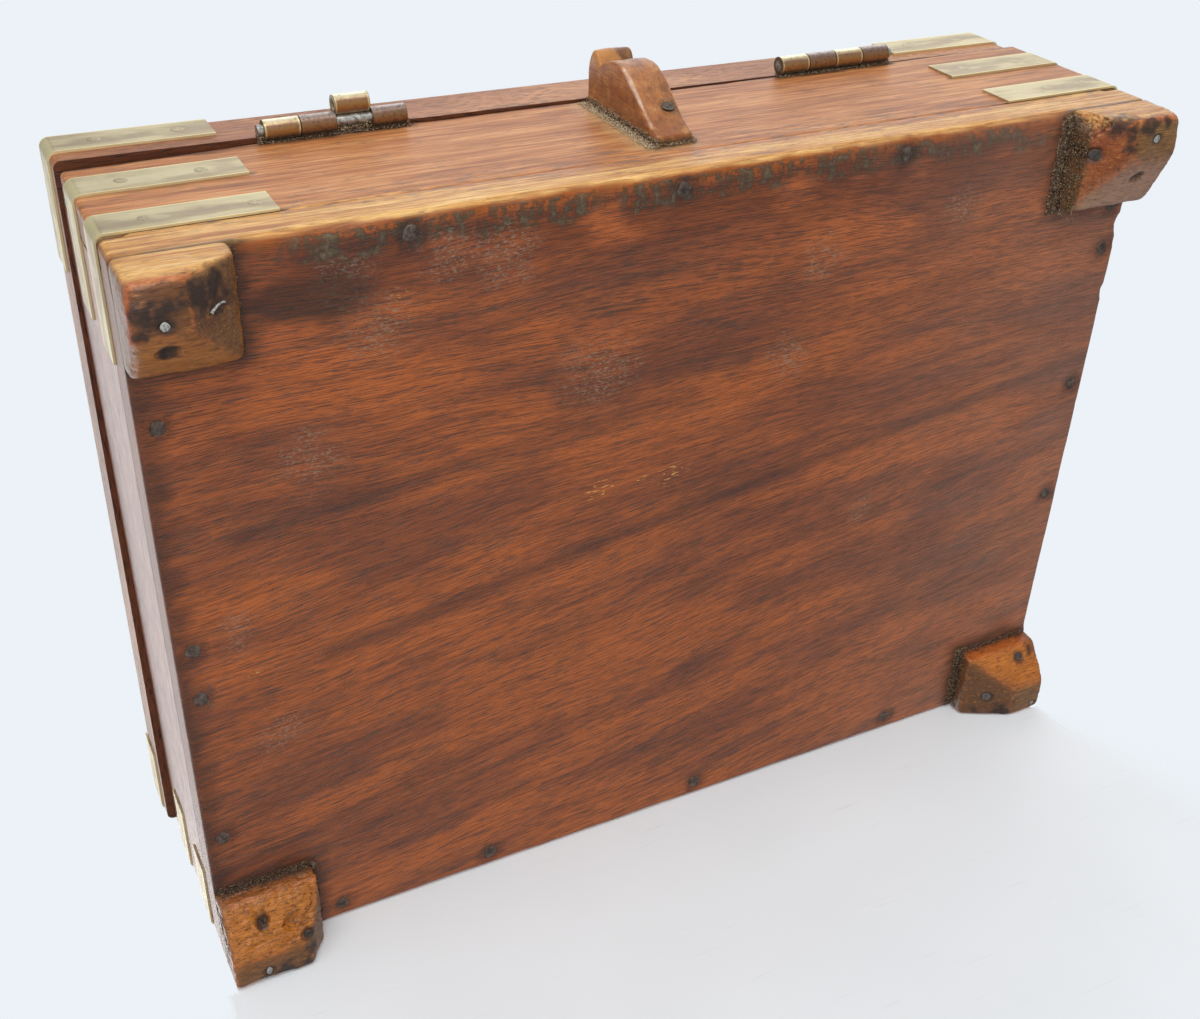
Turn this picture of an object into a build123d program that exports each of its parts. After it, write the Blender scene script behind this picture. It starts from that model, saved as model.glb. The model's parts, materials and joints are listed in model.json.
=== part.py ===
from build123d import *
from math import cos, radians, sin
import os

# A low brass-bound wooden box on four block feet. Its flat lid turns on two butt hinges and is
# stopped, when open, by a block on the back. Millimetres, +Z up, the front towards -Y, and left and
# right as seen by someone who stands in front of it.

os.makedirs("parts", exist_ok=True)

# Case and lid: outside sizes
case_width = 300.0
case_depth = 222.7
case_height = 61.0  # from the underside of the bottom board to the rim
lid_height = 17.7
seam = 0.6  # gap between the rim and the lid
foot_height = 14.5
corner_round = 2.0  # upright corners of the case and the lid
lid_round = 1.6  # edges round the lid's top
base_round = 1.2  # edges round the underside

# Timber
wall = 10.0
bottom_thick = 12.7
lid_rail = 12.0  # width of the lid's four rails
panel_thick = 8.0
panel_bearing = 6.0  # how far the panel lies over each rail
panel_gap = 0.3  # room for the panel to move in its rebate

# The lid has worked loose and sits askew on the case
lid_shift_x = 1.7
lid_shift_y = 0.4
lid_skew = 0.4  # degrees

# Brass corner straps
strap_width = 12.0
strap_thick = 0.6
strap_lower_rise = 13.0  # from the underside of the case to the lower straps
strap_upper_drop = 10.0  # from the rim down to the upper straps
strap_leg_face = 42.5  # along the front or the back
strap_leg_side_back = 32.0  # along a side, from a back corner
strap_leg_side_front = 24.0  # along a side, from a front corner

# Hinges
hinge_spacing = 158.0  # between the middles of the two hinges
hinge_length = 39.0
barrel_radius = 2.6
pin_radius = 1.5
pin_fit = 0.05  # radial clearance of the pin
pin_stub = 1.5  # how far the pin sticks out, at the end nearer the side of the box
knuckle_gap = 0.15
leaf_thick = 1.0
leaf_depth = 8.0
leaf_reach = 0.2  # how far a leaf's plate stands out of the back face
leaf_gap = 0.1  # round a leaf in its recess, and between a plate's edge and the barrel
barrel_clearance = 0.25  # between the barrel and the lid's timber
sprung_gap = 0.1  # between the sprung knuckle and the pin
sprung_tilt = 20.0  # degrees above level, from the pin out to the sprung knuckle
tongue_gap = 0.5  # between the pin and the sprung knuckle's tongue
tongue_bend_start = 155.0  # degrees round the pin, from outwards (0) by way of up (90)
tongue_bend_end = 115.0
tongue_join = 135.0  # degrees round the sprung knuckle, where the tongue runs into it

# Stop block on the back
stop_thick = 11.5
stop_reach = 15.6
stop_height = 42.5  # from the rim down to its lower end
stop_round = 0.9

# Nails
nail_head_radius = 2.4
nail_head_thick = 0.8
nail_shank = 2.0  # square
nail_length = 22.0
brad_head_radius = 1.1
brad_shank = 1.0  # square
foot_nail_radius = 2.0
foot_nail_rise = 22.0  # how far a foot's nails reach up from the ground
foot_nail_proud = 0.4
stop_nail_bite = 8.0  # how deep its nails go into the back board

# Lock in the front board
lock_width = 52.0
lock_height = 24.0
lock_thick = 6.0
lock_wall = 1.2
selvedge_width = 64.0
selvedge_depth = 7.0
selvedge_thick = 1.5
lock_gap = 0.2  # round the lock in its mortise
staple_spacing = 24.0
staple_thick = 2.0
staple_width = 3.6
staple_drop = 7.7  # below the link plate
staple_eye_width = 2.2
staple_eye_height = 3.6
staple_eye_drop = 4.9  # from the link plate to the middle of the eye
slot_clearance_x = 1.0
slot_clearance_y = 0.4
bolt_thick = 1.6
bolt_off_plate = 1.3  # from the lock's back plate to the bolt
bolt_travel = 5.0
bolt_bar_height = 6.0
bolt_bar_drop = 8.5  # from the rim to the top of the bar
bolt_finger_height = 2.8
bolt_finger = 4.3
bolt_post = 4.0
bolt_tip_gap = 0.7  # from a withdrawn finger to its staple
stud_radius = 1.5
stud_shoulder = 2.5
stud_length = 4.2
stud_spacing = 12.0
stud_clearance = 0.1
talon_radius = 2.5
keyhole_drop = 18.0  # from the rim to the middle of the round part
keyhole_radius = 2.2
keyhole_slot_width = 2.0
keyhole_slot_drop = 6.0
drill_pin_radius = 1.0
escutcheon_line = 1.2
escutcheon_depth = 3.0

# Heights
case_base = foot_height
rim = case_base + case_height
lid_base = rim + seam
lid_top = lid_base + lid_height
barrel_z = rim + seam / 2
barrel_out = barrel_radius + leaf_reach + leaf_gap  # from the back face to the middle of the pin

# The origin is under the middle of the whole box, stop block and overhanging lid included
skew_cos = cos(radians(lid_skew))
skew_sin = sin(radians(lid_skew))
half_width = case_width / 2 + strap_thick
half_depth = case_depth / 2 + strap_thick
lid_end = lid_shift_x + half_width * skew_cos + half_depth * skew_sin
lid_front = lid_shift_y - half_depth * skew_cos - half_width * skew_sin
case_x = (half_width - lid_end) / 2
case_y = -(case_depth / 2 + stop_reach + lid_front) / 2
back = case_depth / 2  # the case's back face, from the middle of the case
lid_along = (skew_cos, skew_sin, 0)


def case_level(height):
    """A level plane over the middle of the case."""
    return Plane((case_x, case_y, height))


def lid_level(height):
    """A level plane over the middle of the lid, turned with it."""
    middle = (case_x + lid_shift_x, case_y + lid_shift_y, height)
    return Plane(middle, x_dir=lid_along, z_dir=(0, 0, 1))


def section(x):
    """An upright plane across the case at x, with its first axis towards the back."""
    return Plane((case_x + x, case_y, 0), x_dir=(0, 1, 0), z_dir=(1, 0, 0))


def front_view(y):
    """An upright plane along the case at y, seen from the front."""
    return Plane((case_x, case_y + y, 0), x_dir=(1, 0, 0), z_dir=(0, -1, 0))


# Outside forms that the boards and rails are rounded off to
with BuildPart() as case_form:
    with BuildSketch(case_level(case_base)):
        RectangleRounded(case_width, case_depth, corner_round)
    extrude(amount=case_height)
    fillet(case_form.faces().sort_by(Axis.Z)[0].edges(), base_round)

with BuildPart() as lid_form:
    with BuildSketch(lid_level(lid_base)):
        RectangleRounded(case_width, case_depth, corner_round)
    extrude(amount=lid_height)
    fillet(lid_form.faces().sort_by(Axis.Z)[-1].edges(), lid_round)

corners = (
    ("front_left", -1, -1, strap_leg_side_front),
    ("front_right", 1, -1, strap_leg_side_front),
    ("back_left", -1, 1, strap_leg_side_back),
    ("back_right", 1, 1, strap_leg_side_back),
)

# Feet: corner blocks, bevelled down to a small flat on the two inner sides. No two are alike.
# Each has its size along X and Y, the flat it stands on along X and Y, and the upright step left
# at the inner end of each bevel.
feet = {
    "back_right": ((26.5, 27.5), (14.0, 14.0), (5.5, 5.5)),
    "back_left": ((29.0, 29.0), (17.0, 13.0), (9.0, 7.0)),
    "front_right": ((29.0, 26.0), (23.0, 10.0), (7.0, 6.0)),
    "front_left": ((30.0, 25.0), (13.0, 12.0), (6.0, 6.0)),
}
# Where the nails of each foot are, inwards along X and Y from its corner: one in each bevel, and
# the brad in the flat
foot_nails_at = {
    "back_right": ((20.3, 10.4), (8.3, 18.7), (7.8, 11.2)),
    "back_left": ((26.9, 10.1), (10.7, 18.2), (8.8, 6.4)),
    "front_right": ((22.7, 11.9), (10.8, 19.0), (10.0, 3.9)),
    "front_left": ((21.9, 8.4), (8.5, 21.3), (3.1, 2.2)),
}


def bevel_height(inward, flat, reach, step):
    """Height of a foot's bevel above the ground, at a distance inwards from its corner."""
    return max(0, inward - flat) / (reach - flat) * (foot_height - step)


with BuildPart() as foot_nails:
    for name, side, end, leg_side in corners:
        size, flat, step = feet[name]
        for inward_x, inward_y in foot_nails_at[name]:
            spot = (side * (case_width / 2 - inward_x), end * (case_depth / 2 - inward_y))
            ground = max(
                bevel_height(inward_x, flat[0], size[0], step[0]),
                bevel_height(inward_y, flat[1], size[1], step[1]),
            )
            if ground > 0:
                head_base = ground - foot_nail_proud
                head_radius = foot_nail_radius
                shank = nail_shank
            else:
                head_base = 0
                head_radius = brad_head_radius
                shank = brad_shank
            with BuildSketch(case_level(head_base)):
                with Locations(spot):
                    Circle(head_radius)
            extrude(amount=nail_head_thick)
            with BuildSketch(case_level(head_base)):
                with Locations(spot):
                    Rectangle(shank, shank)
            extrude(amount=foot_nail_rise - head_base)
foot_nails.part.label = "foot_nails"
export_step(foot_nails.part, "parts/foot_nails.step")

for name, side, end, leg_side in corners:
    size, flat, step = feet[name]
    corner = (case_x + side * case_width / 2, case_y + end * case_depth / 2, 0)
    along_x = Plane(corner, x_dir=(-side, 0, 0), z_dir=(0, side, 0))
    along_y = Plane(corner, x_dir=(0, -end, 0), z_dir=(-end, 0, 0))
    with BuildPart() as foot:
        for plane, reach, level, drop, run, way, mode in (
            (along_x, size[0], flat[0], step[0], size[1], (0, -end, 0), Mode.ADD),
            (along_y, size[1], flat[1], step[1], size[0], (-side, 0, 0), Mode.INTERSECT),
        ):
            with BuildSketch(plane):
                Polygon(
                    (0, 0),
                    (level, 0),
                    (reach, foot_height - drop),
                    (reach, foot_height),
                    (0, foot_height),
                    align=None,
                )
            extrude(amount=run, dir=way, mode=mode)
        outer_corner = foot.edges().filter_by(Axis.Z).sort_by_distance(corner)[0]
        fillet(outer_corner, corner_round)
        add(foot_nails.part, mode=Mode.SUBTRACT)
    foot.part.label = f"foot_{name}"
    export_step(foot.part, f"parts/foot_{name}.step")

# Nails up through the bottom board into the middle of the walls, one list for each edge
nail_in = wall / 2
nails_along_back = (81.0, 7.0, -63.0)
nails_along_front = (113.0, 64.0, -11.0, -90.0)
nails_along_right = (68.3, 2.3, -13.7, -64.7)
nails_along_left = (79.5, 65.3, 17.8, -25.2)
bottom_nails_at = (
    [(x, back - nail_in) for x in nails_along_back]
    + [(x, nail_in - back) for x in nails_along_front]
    + [(case_width / 2 - nail_in, y) for y in nails_along_right]
    + [(nail_in - case_width / 2, y) for y in nails_along_left]
)

with BuildPart() as bottom_nails:
    with BuildSketch(case_level(case_base)):
        with Locations(*bottom_nails_at):
            Circle(nail_head_radius)
    extrude(amount=nail_head_thick)
    with BuildSketch(case_level(case_base)):
        with Locations(*bottom_nails_at):
            Rectangle(nail_shank, nail_shank)
    extrude(amount=nail_length)
bottom_nails.part.label = "bottom_nails"
export_step(bottom_nails.part, "parts/bottom_nails.step")

# Stop block: one block with a notched crest, tapering away down the back face. It is held by a
# nail in the slope, driven square to it, and a brad in the notch. Each has its place (along the
# back, out from it, and down from the rim), how far it points upwards, and its size.
with BuildPart() as stop_nails:
    for x, out, drop, upwards, head_radius, shank in (
        (-2.3, 7.8, -34.2, 32.0, nail_head_radius, nail_shank),
        (-0.2, 12.9, -8.4, 0.0, brad_head_radius, brad_shank),
    ):
        inwards = (0, -cos(radians(upwards)), sin(radians(upwards)))
        head = Plane((case_x + x, case_y + back + out, rim + drop), x_dir=(1, 0, 0), z_dir=inwards)
        with BuildSketch(head):
            Circle(head_radius)
        extrude(amount=nail_head_thick)
        with BuildSketch(head):
            Rectangle(shank, shank)
        extrude(amount=(out + stop_nail_bite) / cos(radians(upwards)))
stop_nails.part.label = "stop_nails"
export_step(stop_nails.part, "parts/stop_nails.step")

# Its outline is drawn as distance from the back face and depth below the rim
with BuildPart() as stop_block:
    with BuildSketch(section(0)):
        with BuildLine(Location((back, rim))):
            root = Line((0, -stop_height), (0, 0))
            top = Line(root @ 1, (8.2, 0))
            crown = TangentArc(top @ 1, (stop_reach - 1.0, -2.5), tangent=top % 1)
            lip = TangentArc(crown @ 1, (stop_reach - 1.3, -7.4), tangent=crown % 1)
            notch = Line(lip @ 1, (12.2, -8.6))
            lobe = ThreePointArc(notch @ 1, (15.3, -15.5), (14.6, -23.0))
            slope = TangentArc(lobe @ 1, (10.7, -29.5), tangent=lobe % 1)
            tail = TangentArc(slope @ 1, (2.6, -stop_height), tangent=slope % 1)
            Line(tail @ 1, root @ 0)
        make_face()
    extrude(amount=stop_thick / 2, both=True)
    side_edges = stop_block.faces().filter_by(Axis.X).edges()
    fillet(side_edges - stop_block.faces().sort_by(Axis.Y)[0].edges(), stop_round)
    add(stop_nails.part, mode=Mode.SUBTRACT)
stop_block.part.label = "stop_block"
export_step(stop_block.part, "parts/stop_block.step")

# Case: the bottom board runs under the four walls, the front and back run past the ends
wall_base = case_base + bottom_thick
wall_height = rim - wall_base

with BuildPart() as bottom_board:
    with BuildSketch(case_level(case_base)):
        Rectangle(case_width, case_depth)
    extrude(amount=bottom_thick)
    add(case_form.part, mode=Mode.INTERSECT)
    add(bottom_nails.part, mode=Mode.SUBTRACT)
    add(foot_nails.part, mode=Mode.SUBTRACT)
bottom_board.part.label = "bottom_board"
export_step(bottom_board.part, "parts/bottom_board.step")

hinge_places = {"left": -hinge_spacing / 2, "right": hinge_spacing / 2}

with BuildPart() as back_board:
    with BuildSketch(case_level(wall_base)):
        with Locations((0, back - wall / 2)):
            Rectangle(case_width, wall)
    extrude(amount=wall_height)
    add(case_form.part, mode=Mode.INTERSECT)
    with BuildSketch(case_level(rim)):
        with Locations(*[(x, back - leaf_depth / 2) for x in hinge_places.values()]):
            Rectangle(hinge_length + 2 * leaf_gap, leaf_depth + 2 * leaf_gap)
    extrude(amount=-leaf_thick, mode=Mode.SUBTRACT)
    add(bottom_nails.part, mode=Mode.SUBTRACT)
    add(stop_nails.part, mode=Mode.SUBTRACT)
back_board.part.label = "back_board"
export_step(back_board.part, "parts/back_board.step")

for name, end in (("left", -1), ("right", 1)):
    with BuildPart() as side_board:
        with BuildSketch(case_level(wall_base)):
            with Locations((end * (case_width - wall) / 2, 0)):
                Rectangle(wall, case_depth - 2 * wall)
        extrude(amount=wall_height)
        add(bottom_nails.part, mode=Mode.SUBTRACT)
    side_board.part.label = f"{name}_board"
    export_step(side_board.part, f"parts/{name}_board.step")

# Lock: places from the inner face of the front board and the rim
front_inner = -back + wall
plate_face = front_inner - lock_wall  # the face of the lock's back plate, inside the lock
staple_y = plate_face - bolt_off_plate - bolt_thick / 2
keyhole_z = rim - keyhole_drop
staple_places = (-staple_spacing / 2, staple_spacing / 2)
bolt_bar_z = rim - bolt_bar_drop - bolt_bar_height / 2
lock_middle_y = front_inner - lock_thick / 2
selvedge_middle_y = front_inner - selvedge_depth / 2


def keyhole(line=0):
    """The keyhole's outline in the current sketch, widened all round by a line."""
    with Locations((0, keyhole_z)):
        Circle(keyhole_radius + line)
    with Locations((0, keyhole_z - keyhole_slot_drop / 2)):
        Rectangle(keyhole_slot_width + 2 * line, keyhole_slot_drop + 2 * line)


with BuildPart() as front_board:
    with BuildSketch(case_level(wall_base)):
        with Locations((0, -back + wall / 2)):
            Rectangle(case_width, wall)
    extrude(amount=wall_height)
    add(case_form.part, mode=Mode.INTERSECT)
    with BuildSketch(case_level(rim)):
        with Locations((0, lock_middle_y)):
            Rectangle(lock_width + 2 * lock_gap, lock_thick + 2 * lock_gap)
    extrude(amount=-(selvedge_thick + lock_height + lock_gap), mode=Mode.SUBTRACT)
    with BuildSketch(case_level(rim)):
        with Locations((0, selvedge_middle_y)):
            Rectangle(selvedge_width + 2 * lock_gap, selvedge_depth + 2 * lock_gap)
    extrude(amount=-selvedge_thick, mode=Mode.SUBTRACT)
    with BuildSketch(front_view(-back)):
        keyhole()
    extrude(amount=-wall / 2, mode=Mode.SUBTRACT)
    with BuildSketch(front_view(-back)):
        keyhole(escutcheon_line)
    extrude(amount=-escutcheon_depth, mode=Mode.SUBTRACT)
    add(bottom_nails.part, mode=Mode.SUBTRACT)
front_board.part.label = "front_board"
export_step(front_board.part, "parts/front_board.step")

with BuildPart() as keyhole_escutcheon:
    with BuildSketch(front_view(-back)):
        keyhole(escutcheon_line)
    extrude(amount=-escutcheon_depth)
    with BuildSketch(front_view(-back)):
        keyhole()
    extrude(amount=-escutcheon_depth, mode=Mode.SUBTRACT)
keyhole_escutcheon.part.label = "keyhole_escutcheon"
export_step(keyhole_escutcheon.part, "parts/keyhole_escutcheon.step")

# The lock case is a tray that opens towards the front board, with its selvedge on top
with BuildPart() as lock_case:
    with BuildSketch(case_level(rim)):
        with Locations((0, selvedge_middle_y)):
            Rectangle(selvedge_width, selvedge_depth)
    extrude(amount=-selvedge_thick)
    with BuildSketch(case_level(rim - selvedge_thick)):
        with Locations((0, lock_middle_y)):
            Rectangle(lock_width, lock_thick)
    extrude(amount=-lock_height)
    with BuildSketch(front_view(plate_face)):
        with Locations((0, rim - selvedge_thick - (lock_height - lock_wall) / 2)):
            Rectangle(lock_width - 2 * lock_wall, lock_height - lock_wall)
    extrude(amount=lock_thick, mode=Mode.SUBTRACT)
    with BuildSketch(case_level(rim)):
        with Locations(*[(x, staple_y) for x in staple_places]):
            Rectangle(
                staple_thick + 2 * slot_clearance_x, staple_width + 2 * slot_clearance_y
            )
    extrude(amount=-selvedge_thick, mode=Mode.SUBTRACT)
    stud_places = [(x, bolt_bar_z) for x in (-stud_spacing, 0)]
    with BuildSketch(front_view(plate_face)):
        with Locations(*stud_places):
            Circle(stud_shoulder)
    extrude(amount=bolt_off_plate - stud_clearance)
    with BuildSketch(front_view(plate_face)):
        with Locations(*stud_places):
            Circle(stud_radius)
        with Locations((0, keyhole_z)):
            Circle(drill_pin_radius)
    extrude(amount=stud_length)
lock_case.part.label = "lock_case"
export_step(lock_case.part, "parts/lock_case.step")

# The bolt: a slotted bar that rides on the studs, with a finger for each staple
finger_tip = staple_spacing / 2 - staple_thick / 2 - bolt_tip_gap
finger_z = lid_base - staple_eye_drop
post_height = finger_z + bolt_finger_height / 2 - bolt_bar_z
post_x = finger_tip - bolt_finger - bolt_post / 2
bar_start = post_x - staple_spacing - bolt_post / 2
bar_end = post_x + bolt_post / 2
slot_length = 2 * (stud_radius + stud_clearance) + bolt_travel

with BuildPart() as lock_bolt:
    with BuildSketch(front_view(plate_face - bolt_off_plate)):
        with Locations(((bar_start + bar_end) / 2, bolt_bar_z)):
            Rectangle(bar_end - bar_start, bolt_bar_height)
        for shift in (0, -staple_spacing):
            with Locations((post_x + shift, bolt_bar_z + post_height / 2)):
                Rectangle(bolt_post, post_height)
            with Locations((finger_tip + shift - bolt_finger / 2, finger_z)):
                Rectangle(bolt_finger, bolt_finger_height)
        for x, z in stud_places:
            with Locations((x - bolt_travel / 2, z)):
                SlotOverall(slot_length, 2 * (stud_radius + stud_clearance), mode=Mode.SUBTRACT)
        with Locations((-bolt_travel / 2, bolt_bar_z - bolt_bar_height / 2)):
            Circle(talon_radius / 2, mode=Mode.SUBTRACT)
    extrude(amount=bolt_thick)
lock_bolt.part.label = "lock_bolt"
export_step(lock_bolt.part, "parts/lock_bolt.step")

# The link plate under the lid, with the two staples that the bolt catches
with BuildPart() as lock_link:
    with BuildSketch(case_level(lid_base)):
        with Locations((0, selvedge_middle_y)):
            Rectangle(selvedge_width, selvedge_depth)
    extrude(amount=selvedge_thick)
    with BuildSketch(case_level(lid_base)):
        with Locations(*[(x, staple_y) for x in staple_places]):
            Rectangle(staple_thick, staple_width)
    extrude(amount=-staple_drop)
    with BuildSketch(section(-selvedge_width / 2)):
        with Locations((staple_y, finger_z)):
            Rectangle(staple_eye_width, staple_eye_height)
    extrude(amount=selvedge_width, mode=Mode.SUBTRACT)
lock_link.part.label = "lock_link"
export_step(lock_link.part, "parts/lock_link.step")

# Lid: four rails as high as the lid, with the panel let into a rebate round their top
panel_width = case_width - 2 * (lid_rail - panel_bearing)
panel_depth = case_depth - 2 * (lid_rail - panel_bearing)

with BuildPart() as lid_panel:
    with BuildSketch(lid_level(lid_top)):
        Rectangle(panel_width - 2 * panel_gap, panel_depth - 2 * panel_gap)
    extrude(amount=-panel_thick)
lid_panel.part.label = "lid_panel"
export_step(lid_panel.part, "parts/lid_panel.step")

with BuildPart() as panel_rebate:
    with BuildSketch(lid_level(lid_top)):
        Rectangle(panel_width, panel_depth)
    extrude(amount=-panel_thick)

with BuildPart() as lid_front_rail:
    with BuildSketch(lid_level(lid_base)):
        with Locations((0, -back + lid_rail / 2)):
            Rectangle(case_width, lid_rail)
    extrude(amount=lid_height)
    add(lid_form.part, mode=Mode.INTERSECT)
    add(panel_rebate.part, mode=Mode.SUBTRACT)
    with BuildSketch(case_level(lid_base)):
        with Locations((0, selvedge_middle_y)):
            Rectangle(selvedge_width + 2 * lock_gap, selvedge_depth + 2 * lock_gap)
    extrude(amount=selvedge_thick, mode=Mode.SUBTRACT)
lid_front_rail.part.label = "lid_front_rail"
export_step(lid_front_rail.part, "parts/lid_front_rail.step")

with BuildPart() as lid_back_rail:
    with BuildSketch(lid_level(lid_base)):
        with Locations((0, back - lid_rail / 2)):
            Rectangle(case_width, lid_rail)
    extrude(amount=lid_height)
    add(lid_form.part, mode=Mode.INTERSECT)
    add(panel_rebate.part, mode=Mode.SUBTRACT)
    # recesses for the leaves, open towards the back, and grooves that clear the barrels
    with BuildSketch(case_level(lid_base)):
        with Locations(*[(x, back + (barrel_out - leaf_depth) / 2) for x in hinge_places.values()]):
            Rectangle(hinge_length + 2 * leaf_gap, leaf_depth + barrel_out + 2 * leaf_gap)
    extrude(amount=leaf_thick, mode=Mode.SUBTRACT)
    for x in hinge_places.values():
        with BuildSketch(section(x)):
            with Locations((back + barrel_out, barrel_z)):
                Circle(barrel_radius + barrel_clearance)
        extrude(amount=hinge_length / 2 + pin_stub, both=True, mode=Mode.SUBTRACT)
lid_back_rail.part.label = "lid_back_rail"
export_step(lid_back_rail.part, "parts/lid_back_rail.step")

for name, end in (("left", -1), ("right", 1)):
    with BuildPart() as lid_side_rail:
        with BuildSketch(lid_level(lid_base)):
            with Locations((end * (case_width - lid_rail) / 2, 0)):
                Rectangle(lid_rail, case_depth - 2 * lid_rail)
        extrude(amount=lid_height)
        add(lid_form.part, mode=Mode.INTERSECT)
        add(panel_rebate.part, mode=Mode.SUBTRACT)
    lid_side_rail.part.label = f"lid_{name}_rail"
    export_step(lid_side_rail.part, f"parts/lid_{name}_rail.step")

# Brass corner straps, bent round the corners and standing proud of the timber


def corner_strap(plane, side, end, leg_side):
    """A strap round the corner at side (left -1, right 1) and end (front -1, back 1)."""
    with BuildPart() as strap:
        with BuildSketch(plane):
            RectangleRounded(
                case_width + 2 * strap_thick,
                case_depth + 2 * strap_thick,
                corner_round + strap_thick,
            )
            RectangleRounded(case_width, case_depth, corner_round, mode=Mode.SUBTRACT)
            corner = (side * (half_width - strap_leg_face / 2), end * (half_depth - leg_side / 2))
            with Locations(corner):
                Rectangle(strap_leg_face, leg_side, mode=Mode.INTERSECT)
        extrude(amount=strap_width)
    return strap


strap_heights = {
    "lower": case_base + strap_lower_rise,
    "upper": rim - strap_upper_drop - strap_width,
}
for name, side, end, leg_side in corners:
    for level, height in strap_heights.items():
        case_strap = corner_strap(case_level(height), side, end, leg_side)
        case_strap.part.label = f"strap_{name}_{level}"
        export_step(case_strap.part, f"parts/strap_{name}_{level}.step")
    lid_strap = corner_strap(lid_level(lid_top - strap_width), side, end, leg_side)
    lid_strap.part.label = f"lid_strap_{name}"
    export_step(lid_strap.part, f"parts/lid_strap_{name}.step")

# Hinges: four knuckles each, case and lid in turn, on a pin held by the case's knuckles
knuckle_pitch = hinge_length / 4
case_knuckles = (0, 2)
lid_knuckles = (1, 3)
sprung_away = barrel_radius + pin_radius + sprung_gap
sprung_out = sprung_away * cos(radians(sprung_tilt))
sprung_up = sprung_away * sin(radians(sprung_tilt))


def round_pin(radius, angle):
    """A point at a radius and angle round the pin, from outwards (0) by way of up (90)."""
    return radius * cos(radians(angle)), radius * sin(radians(angle))


def hinge_leaf(middle, plate_base, knuckles, sprung=None):
    """A leaf with its knuckles. The sprung one has been forced up and outwards, off the pin, and
    a tongue of the leaf still reaches over the pin to it."""
    inside = pin_radius + tongue_gap
    tongue_end = sprung_out + barrel_radius * cos(radians(tongue_join))
    with BuildPart() as leaf:
        with BuildSketch(case_level(plate_base)):
            with Locations((middle, back + (leaf_reach - leaf_depth) / 2)):
                Rectangle(hinge_length, leaf_depth + leaf_reach)
        extrude(amount=leaf_thick)
        for i in knuckles:
            x = middle - hinge_length / 2 + i * knuckle_pitch + knuckle_gap / 2
            pin_middle = (back + barrel_out, barrel_z)
            with BuildSketch(section(x)):
                if i == sprung:
                    eye_middle = (pin_middle[0] + sprung_out, pin_middle[1] + sprung_up)
                    with Locations(pin_middle):
                        Polygon(
                            (-barrel_out, seam / 2),
                            round_pin(inside, tongue_bend_start),
                            round_pin(inside, tongue_bend_end),
                            (tongue_end, inside * sin(radians(tongue_bend_end))),
                            (tongue_end, sprung_up + barrel_radius * sin(radians(tongue_join))),
                            round_pin(inside + leaf_thick, tongue_bend_end),
                            round_pin(barrel_radius, tongue_bend_start),
                            (-barrel_out, seam / 2 + leaf_thick),
                            align=None,
                        )
                else:
                    eye_middle = pin_middle
                    with Locations((back + barrel_out / 2, plate_base + leaf_thick / 2)):
                        Rectangle(barrel_out, leaf_thick)
                with Locations(eye_middle):
                    Circle(barrel_radius)
                    Circle(pin_radius + pin_fit, mode=Mode.SUBTRACT)
            extrude(amount=knuckle_pitch - knuckle_gap)
    return leaf


for name, middle in hinge_places.items():
    case_leaf = hinge_leaf(middle, rim - leaf_thick, case_knuckles)
    case_leaf.part.label = f"hinge_{name}_case_leaf"
    export_step(case_leaf.part, f"parts/hinge_{name}_case_leaf.step")

    sprung = lid_knuckles[0] if name == "right" else None
    lid_leaf = hinge_leaf(middle, lid_base, lid_knuckles, sprung)
    lid_leaf.part.label = f"hinge_{name}_lid_leaf"
    export_step(lid_leaf.part, f"parts/hinge_{name}_lid_leaf.step")

    outwards = 1 if name == "right" else -1
    with BuildPart() as pin:
        with BuildSketch(section(middle - outwards * hinge_length / 2)):
            with Locations((back + barrel_out, barrel_z)):
                Circle(pin_radius)
        extrude(amount=outwards * (hinge_length + pin_stub))
    pin.part.label = f"hinge_{name}_pin"
    export_step(pin.part, f"parts/hinge_{name}_pin.step")
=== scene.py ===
import itertools
import json
import math

import bpy
import numpy as np
from mathutils import Matrix, Vector

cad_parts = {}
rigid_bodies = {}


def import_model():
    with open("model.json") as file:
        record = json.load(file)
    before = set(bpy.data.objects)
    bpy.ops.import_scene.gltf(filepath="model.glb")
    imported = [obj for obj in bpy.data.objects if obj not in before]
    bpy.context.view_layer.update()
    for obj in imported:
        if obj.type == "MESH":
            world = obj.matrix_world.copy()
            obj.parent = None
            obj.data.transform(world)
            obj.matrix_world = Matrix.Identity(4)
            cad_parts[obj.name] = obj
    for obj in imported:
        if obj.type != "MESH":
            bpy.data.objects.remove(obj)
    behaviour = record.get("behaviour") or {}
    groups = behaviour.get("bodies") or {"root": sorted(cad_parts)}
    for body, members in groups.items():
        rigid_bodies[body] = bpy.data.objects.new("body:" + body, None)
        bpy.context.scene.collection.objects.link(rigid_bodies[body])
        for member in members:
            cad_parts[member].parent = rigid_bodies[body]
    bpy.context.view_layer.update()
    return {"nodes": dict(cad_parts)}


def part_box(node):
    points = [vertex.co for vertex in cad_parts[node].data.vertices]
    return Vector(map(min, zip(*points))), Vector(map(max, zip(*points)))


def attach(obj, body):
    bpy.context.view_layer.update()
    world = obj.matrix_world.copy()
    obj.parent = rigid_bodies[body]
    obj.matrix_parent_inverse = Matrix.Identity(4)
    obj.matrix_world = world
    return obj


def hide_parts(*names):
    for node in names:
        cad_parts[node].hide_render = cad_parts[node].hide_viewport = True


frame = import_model()

# ---------------------------------------------------------------------------------------------
# Bottom board. One wide board of red-brown hardwood nailed up under the four walls, its grain
# along the box. Its arrises are worn wavy, most of all under the back, and one end is chipped.
# ---------------------------------------------------------------------------------------------


def corners(node):
    """The low and high corners of a node's box, in millimetres."""
    return [np.array(corner) * 1000 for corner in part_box(node)]


BOARD_LOW, BOARD_HIGH = corners("bottom_board")


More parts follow.
